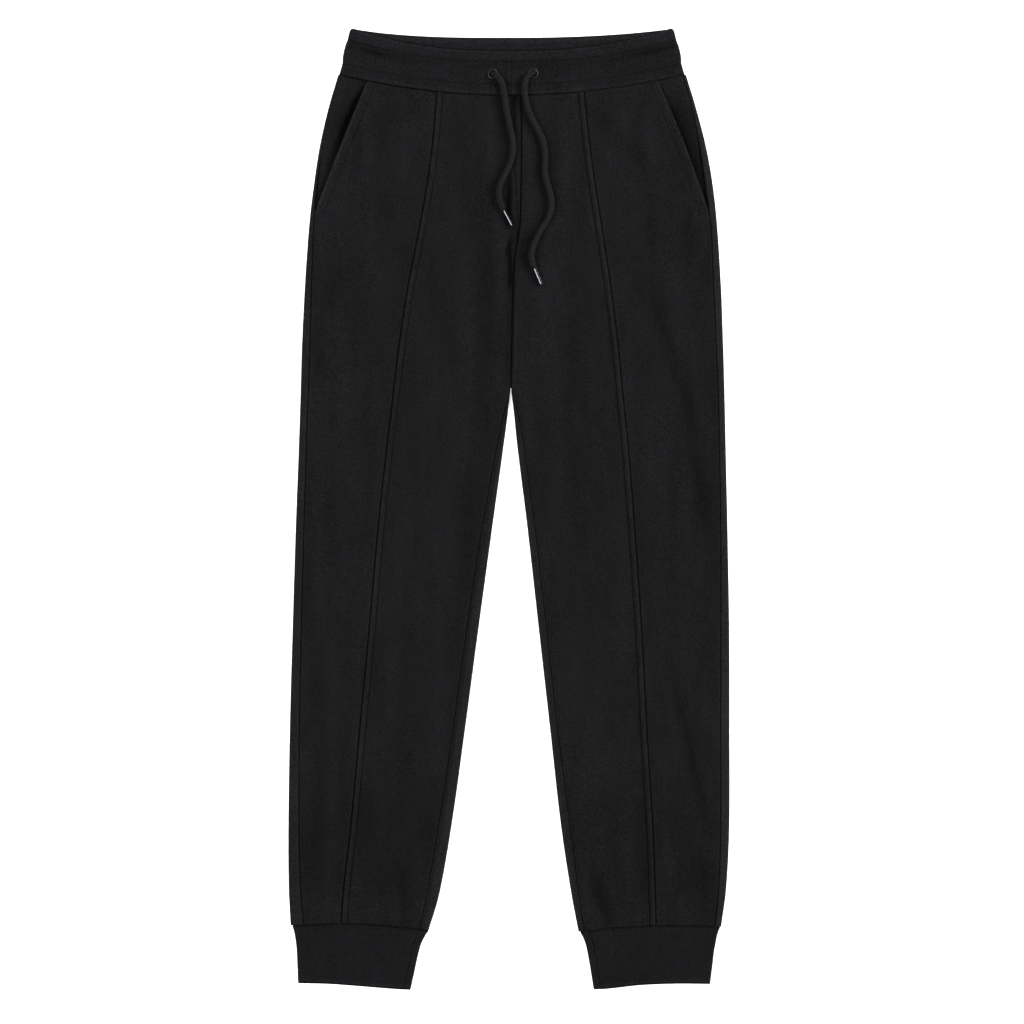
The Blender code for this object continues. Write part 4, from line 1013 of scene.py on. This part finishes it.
part_steps = np.concatenate([
    np.array([0, 0.15, 0.45, 0.9, 1.5, 2.4, 3.6]) / BAND_DEPTH,
    np.linspace(0.1, 0.955, 46),
    1 - np.array([1.5, 0.9, 0.45, 0.15, 0]) / BAND_DEPTH,
])[:, None]
near_edge = np.array([0, 0.0008, 0.0024, 0.005, 0.009])
front_steps = np.concatenate([near_edge, np.linspace(0.02, 1, 90)])[None, :-1]
round_steps = np.linspace(math.pi / 2, -math.pi / 2, 13)[None, :]
back_steps = np.concatenate([np.linspace(0, 0.98, 90)[1:], 1 - near_edge[::-1]])[None, :]
sewn_steps = np.linspace(0.004, 0.995, 200)[None, :]
no_steps = np.zeros((1, 0))
BAND_CUT = {"left": ((0.375, 0.054), 0.019), "right": ((0.375, 0.054), 0.019)}
for leg in (LEFT, RIGHT):
    outside, inside, shade = band_walls(leg, part_steps, front_steps, round_steps, back_steps)
    band = add_cloth("waistband_" + leg.name + "_half", outside, inside, band_cloth, shade)
    cut_eyelet_hole(band, EYELET_SPOTS[leg.name])
    under = ["back_panel_" + leg.name]
    lay_cloth(band, "waistband_" + leg.name, "band_knit", "gathered", under, *BAND_CUT[leg.name])
    rows = [np.array([[row]]) for row in BAND_ROWS]
    front = [band_walls(leg, row, sewn_steps, no_steps, no_steps)[0][0] for row in rows]
    back = [band_walls(leg, row, no_steps, no_steps, sewn_steps) for row in rows]
    sew("band_stitches_front_" + leg.name, front + [back[0][1][0]])
    sew("band_stitches_back_" + leg.name, [walls[0][0] for walls in back], up=-1.0)


# ---------------------------------------------------------------- eyelets
# Pressed brass rings, gunmetal plated, clinched through the front of the waistband for the drawcord. They
# and the drawn tips of the cord keep the shapes of the CAD part, and get their finish here.

# Gunmetal plating: a dark, clear metal with small bright lights, a little dulled by handling.
gunmetal, tree, shader = start_material("gunmetal plated brass")
wear, tint = speckled(tree, 350.0, 3.0, "3a3b3e", "4a4b4e")
rough = node(tree, "MapRange", {0: wear, 1: 0.3, 2: 0.7, 3: 0.13, 4: 0.2}).outputs[0]
plug(tree, shader, {"Base Color": tint, "Roughness": rough, "Metallic": 1.0})

# The same plating on the eyelets, which stay dull and dark from the press.
pressed_metal, tree, shader = start_material("gunmetal plated brass, dull")
plug(tree, shader, {"Base Color": linear("4c4c50"), "Roughness": 0.38, "Metallic": 1.0})
for name, finish in (("eyelet", pressed_metal), ("aglet", gunmetal)):
    for side in ("left", "right"):
        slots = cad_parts[name + "_" + side].data.materials
        slots.clear()
        slots.append(finish)


# ---------------------------------------------------------------- cuffs
# Each ankle is closed by a doubled tube of the fleece, folded at the bottom, with its own seam in front
# near the inner edge. It is narrower than the leg, which is eased onto it and blouses a little over it.

CUFF_WALL = 2.3
CUFF_HEIGHT = 5.6
CUFF_DEPTH = 63.0
CUFF_PARTS = (0.0, 0.1, 0.25, 0.45, 0.7, 1.0)


class Cuff:
    """A cuff's inner edge, outer edge and seam, from its top (0) to its end (1), and how its end runs."""

    def __init__(self, inner, outer, seam, end):
        self.inner = curve_through(CUFF_PARTS, inner)
        self.outer = curve_through(CUFF_PARTS, outer)
        self.seam = curve_through(CUFF_PARTS, seam)
        self.end = curve_through(*end)


CUFFS = {
    "left": Cuff(
        inner=(85.2, 89.3, 93.6, 96.9, 100.3, 104.6),
        outer=(230.2, 228.2, 226.6, 225.3, 224.7, 223.9),
        seam=(10.6, 8.4, 7.6, 7.2, 6.8, 6.2),
        end=((105, 121, 188, 223), (1019.2, 1018.4, 1013.2, 1012.2)),
    ),
    "right": Cuff(
        inner=(75.4, 78.6, 81.8, 84.3, 87.0, 90.0),
        outer=(224.6, 222.0, 219.9, 217.7, 215.9, 213.6),
        seam=(9.6, 8.4, 7.8, 7.4, 7.1, 6.9),
        end=((91, 104, 140, 177, 213), (1018.6, 1018.2, 1014.3, 1012.8, 1013.0)),
    ),
}


def cuff_walls(leg, cuff, part, turn):
    """Both faces and the shade, once round from the cuff's own seam on the front: over the inner edge
    (turn -1 to 1), underneath (1 to 2), over the outer edge (2 to 4) and back along the front (4 to 5)."""
    inner, outer, seam = cuff.inner(part), cuff.outer(part), cuff.seam(part)
    radius = CUFF_HEIGHT / 2 - 0.25 * (1 - ease(0.0, 0.12, part))
    angle = np.radians(np.interp(turn, [-1, 1, 2, 4], [90, -90, -90, 90]))
    span = outer - inner - 2 * radius
    before = (seam - radius - SEAM_GAP / 2) / span
    after = (seam - radius + SEAM_GAP / 2) / span
    across = np.where(turn < -1, before * (-1 - turn), np.interp(turn, [1, 2], [0, 1]))
    across = np.where(turn > 4, 1 - (1 - after) * (turn - 4), across)
    towards = np.where(turn < 1.5, -1, 1) * np.cos(angle) * (np.abs(angle) < math.pi / 2 - 1e-6)
    front = angle > 0
    out = inner + radius + span * across + towards * radius
    top = leg.hem(out) + 0.1
    down = top + (cuff.end(out) + np.where(front, 0.0, 1.6) - top) * part
    from_hem, from_end, from_seam = part * CUFF_DEPTH, (1 - part) * CUFF_DEPTH, out - inner - seam
    near = rolled_edge(from_end, 1.3, 1.3) + rolled_edge(from_hem, 0.8, 1.4)
    near = near + rolled_edge(np.abs(from_seam), 1.1, 0.9) * front
    puckers = soft_noise(leg.side * out, part, 3.2, 0.3, 31) * (1 - ease(0.02, 0.35, part))
    puckers += soft_noise(leg.side * out, part, 22, 0.4, 32)
    near = near - np.where(front, 0.25, 0.05) * puckers
    near = np.where(front | (np.abs(angle) < 1.5), near, np.maximum(near, 0))
    far = CUFF_WALL - rolled_edge(from_end, 1.1, 1.1)
    # Painted light just above the folded end; painted shade at the very end, in the cuff's own seam with a
    # painted highlight beside it, and at its top under the hem; the underside is painted dark near the end.
    shade = 0.35 * mark(from_end - 2.4, 1.2) - 1.0 * mark(from_end, 0.8)
    shade = shade - 0.45 * mark(from_seam, 0.5) + 0.15 * mark(from_seam + 1.1, 0.5)
    shade = np.where(front, shade, -1.0 * (1 - ease(1, 4, from_end))) - 0.9 * mark(from_hem, 0.9)
    faces = [points_at(leg, out - towards * depth, down, radius + (radius - depth) * np.sin(angle))
             for depth in (near, far)]
    return faces + [shade]


# The cuffs are the same fleece again, stretched over the seam, and drawn a little darker.
cuff_cloth = black_knit("black cotton fleece, doubled tube", "060707", "19191b", 0.8)

part_steps = np.concatenate([
    np.array([0, 0.15, 0.4, 0.8, 1.3, 2.0, 3.2, 5]) / CUFF_DEPTH,
    np.linspace(0.11, 0.95, 22),
    1 - np.array([2.1, 1.5, 1.1, 0.8, 0.5, 0.25, 0.08, 0]) / CUFF_DEPTH,
])[:, None]
turn_steps = np.concatenate([
    np.array([0, 0.02, 0.06, 0.12, 0.2, 0.3, 0.5, 0.75]) - 2,
    np.linspace(-1, 1, 13), np.linspace(1, 2, 50)[1:], np.linspace(2, 4, 13)[1:],
    np.linspace(4, 4.98, 90)[1:], 5 - np.array([1.6, 1.1, 0.7, 0.35, 0.12, 0]) / 130,
])[None, :]
CUFF_CUT = {"left": ((0.296, 0.069), 0.0175), "right": ((0.303, 0.066), 0.0174)}
for leg in (LEFT, RIGHT):
    outside, inside, shade = cuff_walls(leg, CUFFS[leg.name], part_steps, turn_steps)
    cuff = add_cloth("cuff_tube_" + leg.name, outside, inside, cuff_cloth, shade)
    lay_cloth(cuff, "cuff_" + leg.name, "band_knit", "laid", ["opal_table"], *CUFF_CUT[leg.name])


# ---------------------------------------------------------------- drawcord
# A round braided cotton cord, 6.4 mm thick. It runs inside the band, and its two ends leave the eyelets
# and lie on the front, each closed in a drawn metal tip, so that the braid can't fray.

CORD_RADIUS = 3.2
CORD_END = 1.75
CORD_SQUEEZE = 0.8
CORD_SQUEEZE_LENGTH = 9.0
CORD_SIDES = 40
# The middle line of each end: out to the right, up along the garment and above the table, in millimetres.
LEFT_CORD = (
    (-18.15, 462.2, 6.5), (-17.6, 461.85, 7.7), (-16.95, 461.45, 8.8), (-15.35, 460.5, 10.5),
    (-13.7, 459.2, 11.5), (-9.5, 455.0, 11.8), (-6.5, 448.3, 11.2), (-4.2, 436.7, 10.4),
    (-2.3, 421.8, 9.1), (0.9, 405.7, 9.1), (4.1, 390.7, 9.1), (3.8, 375.7, 9.1), (0.4, 364.1, 9.1),
    (-5.4, 352.6, 9.2), (-10.0, 341.2, 9.3), (-10.2, 331.5, 9.3), (-9.1, 325.0, 9.1),
    (-6.5, 319.4, 8.8), (-5.3, 317.1, 8.7),
)
RIGHT_CORD = (
    (26.85, 462.8, 6.5), (26.3, 462.45, 7.7), (25.65, 462.05, 8.8), (24.1, 461.0, 10.5),
    (22.05, 459.6, 11.5), (18.55, 456.2, 11.8), (16.85, 450.0, 11.3), (16.95, 439.0, 10.6),
    (19.25, 427.6, 9.2), (23.85, 414.9, 9.0), (30.15, 403.3, 9.0), (35.95, 390.7, 9.0),
    (38.45, 375.7, 9.0), (38.05, 360.7, 9.0), (40.05, 346.9, 9.0), (43.95, 333.1, 9.0),
    (44.95, 320.4, 9.0), (41.75, 308.9, 9.0), (33.75, 295.6, 9.1), (27.65, 283.1, 9.1),
    (23.95, 270.6, 9.0), (24.45, 263.0, 8.9), (26.15, 258.0, 8.7), (27.15, 255.6, 8.6),
)

# A braid of this size has sixteen yarns that cross every 2.4 mm. Twelve that cross every 3 mm are drawn,
# so that they show.
CORD_YARNS = 6
CORD_CROSSING = 3.0

# Braided cotton: matt as the fleece but tighter. Its colour is painted lighter on each yarn and painted
# dark between them, as painted light and shade of the braid.
braid, tree, shader = start_material("black braided cotton")
fuzz, tint = speckled(tree, 800.0, 2.0, "0b0b0c", "28282b")
# Painted light and shade: the braid's height scales the colour, lighter on the yarns' crests, down to black
# in the dips.
yarn = node(tree, "Attribute", attribute_name="yarn").outputs["Fac"]
raised = node(tree, "MapRange", {0: yarn, 1: 0.35, 2: 0.9, 3: 0.0, 4: 2.2}).outputs[0]
bump = node(tree, "Bump", {"Strength": 0.5, "Distance": 0.0003, "Height": fuzz}).outputs[0]
lit = node(tree, "VectorMath", {0: tint, "Scale": raised}, operation="SCALE").outputs[0]
plug(tree, shader, {"Base Color": lit, "Normal": bump, "Roughness": 0.85, "Specular IOR Level": 0.08})


def braid_relief(turn, travel):
    """Height of the braid: its yarns slant both ways round the cord, and dip where others pass over."""
    around = turn * CORD_YARNS
    along = travel / CORD_CROSSING
    over = 0.4 * np.cos(2 * np.pi * along)
    one = np.cos(np.pi * (around + along)) ** 2 * (0.6 + over)
    other = np.cos(np.pi * (around - along)) ** 2 * (0.6 - over)
    return np.maximum(one, other)


def add_drawcord(name, route):
    """The braid along its route, squeezed at both ends: the piece, its middle line and its length."""
    route = np.array(route)
    knots = np.concatenate([[0], np.cumsum(np.linalg.norm(np.diff(route, axis=0), axis=1))])
    end = knots[-1]
    last = end + np.array([-1.6, -0.9, -0.4, -0.1, 0.3, 0.6])
    travel = np.concatenate([np.arange(0, last[0], 0.65), last])
    line = np.stack([curve_through(knots, route[:, k])(travel) for k in range(3)], -1)
    tail = unit(line[-4:-3] - line[-6:-5])
    line[-2:] = line[-3] + tail * (travel[-2:] - travel[-3])[:, None]
    ahead = unit(np.gradient(line, axis=0))
    up = unit(np.array([0, 0, 1.0]) - ahead * ahead[:, 2:])
    beside = np.cross(ahead, up)
    turn = np.arange(CORD_SIDES) / CORD_SIDES
    angle = 2 * np.pi * turn[None, :, None]
    radius = CORD_RADIUS * (CORD_SQUEEZE + (1 - CORD_SQUEEZE) * ease(0, CORD_SQUEEZE_LENGTH, travel))
    radius -= (CORD_RADIUS - CORD_END) * ease(end - 2.4, end, travel)
    yarn = braid_relief(turn[None, :], travel[:, None])
    size = (radius[:, None] + 0.5 * (yarn - 0.78))[:, :, None]
    points = line[:, None] + size * (beside[:, None] * np.cos(angle) + up[:, None] * np.sin(angle))
    rings = len(travel)
    faces = ring_faces(rings, CORD_SIDES).tolist() + ring_caps(rings, CORD_SIDES)
    made = add_piece(name, points * MM, faces, braid)
    store(made.data, "yarn", yarn.reshape(-1))
    return made, line * MM, end * MM


for side, route in (("left", LEFT_CORD), ("right", RIGHT_CORD)):
    cord, path, length = add_drawcord("drawcord_end_" + side, route)
    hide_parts("drawcord_" + side)
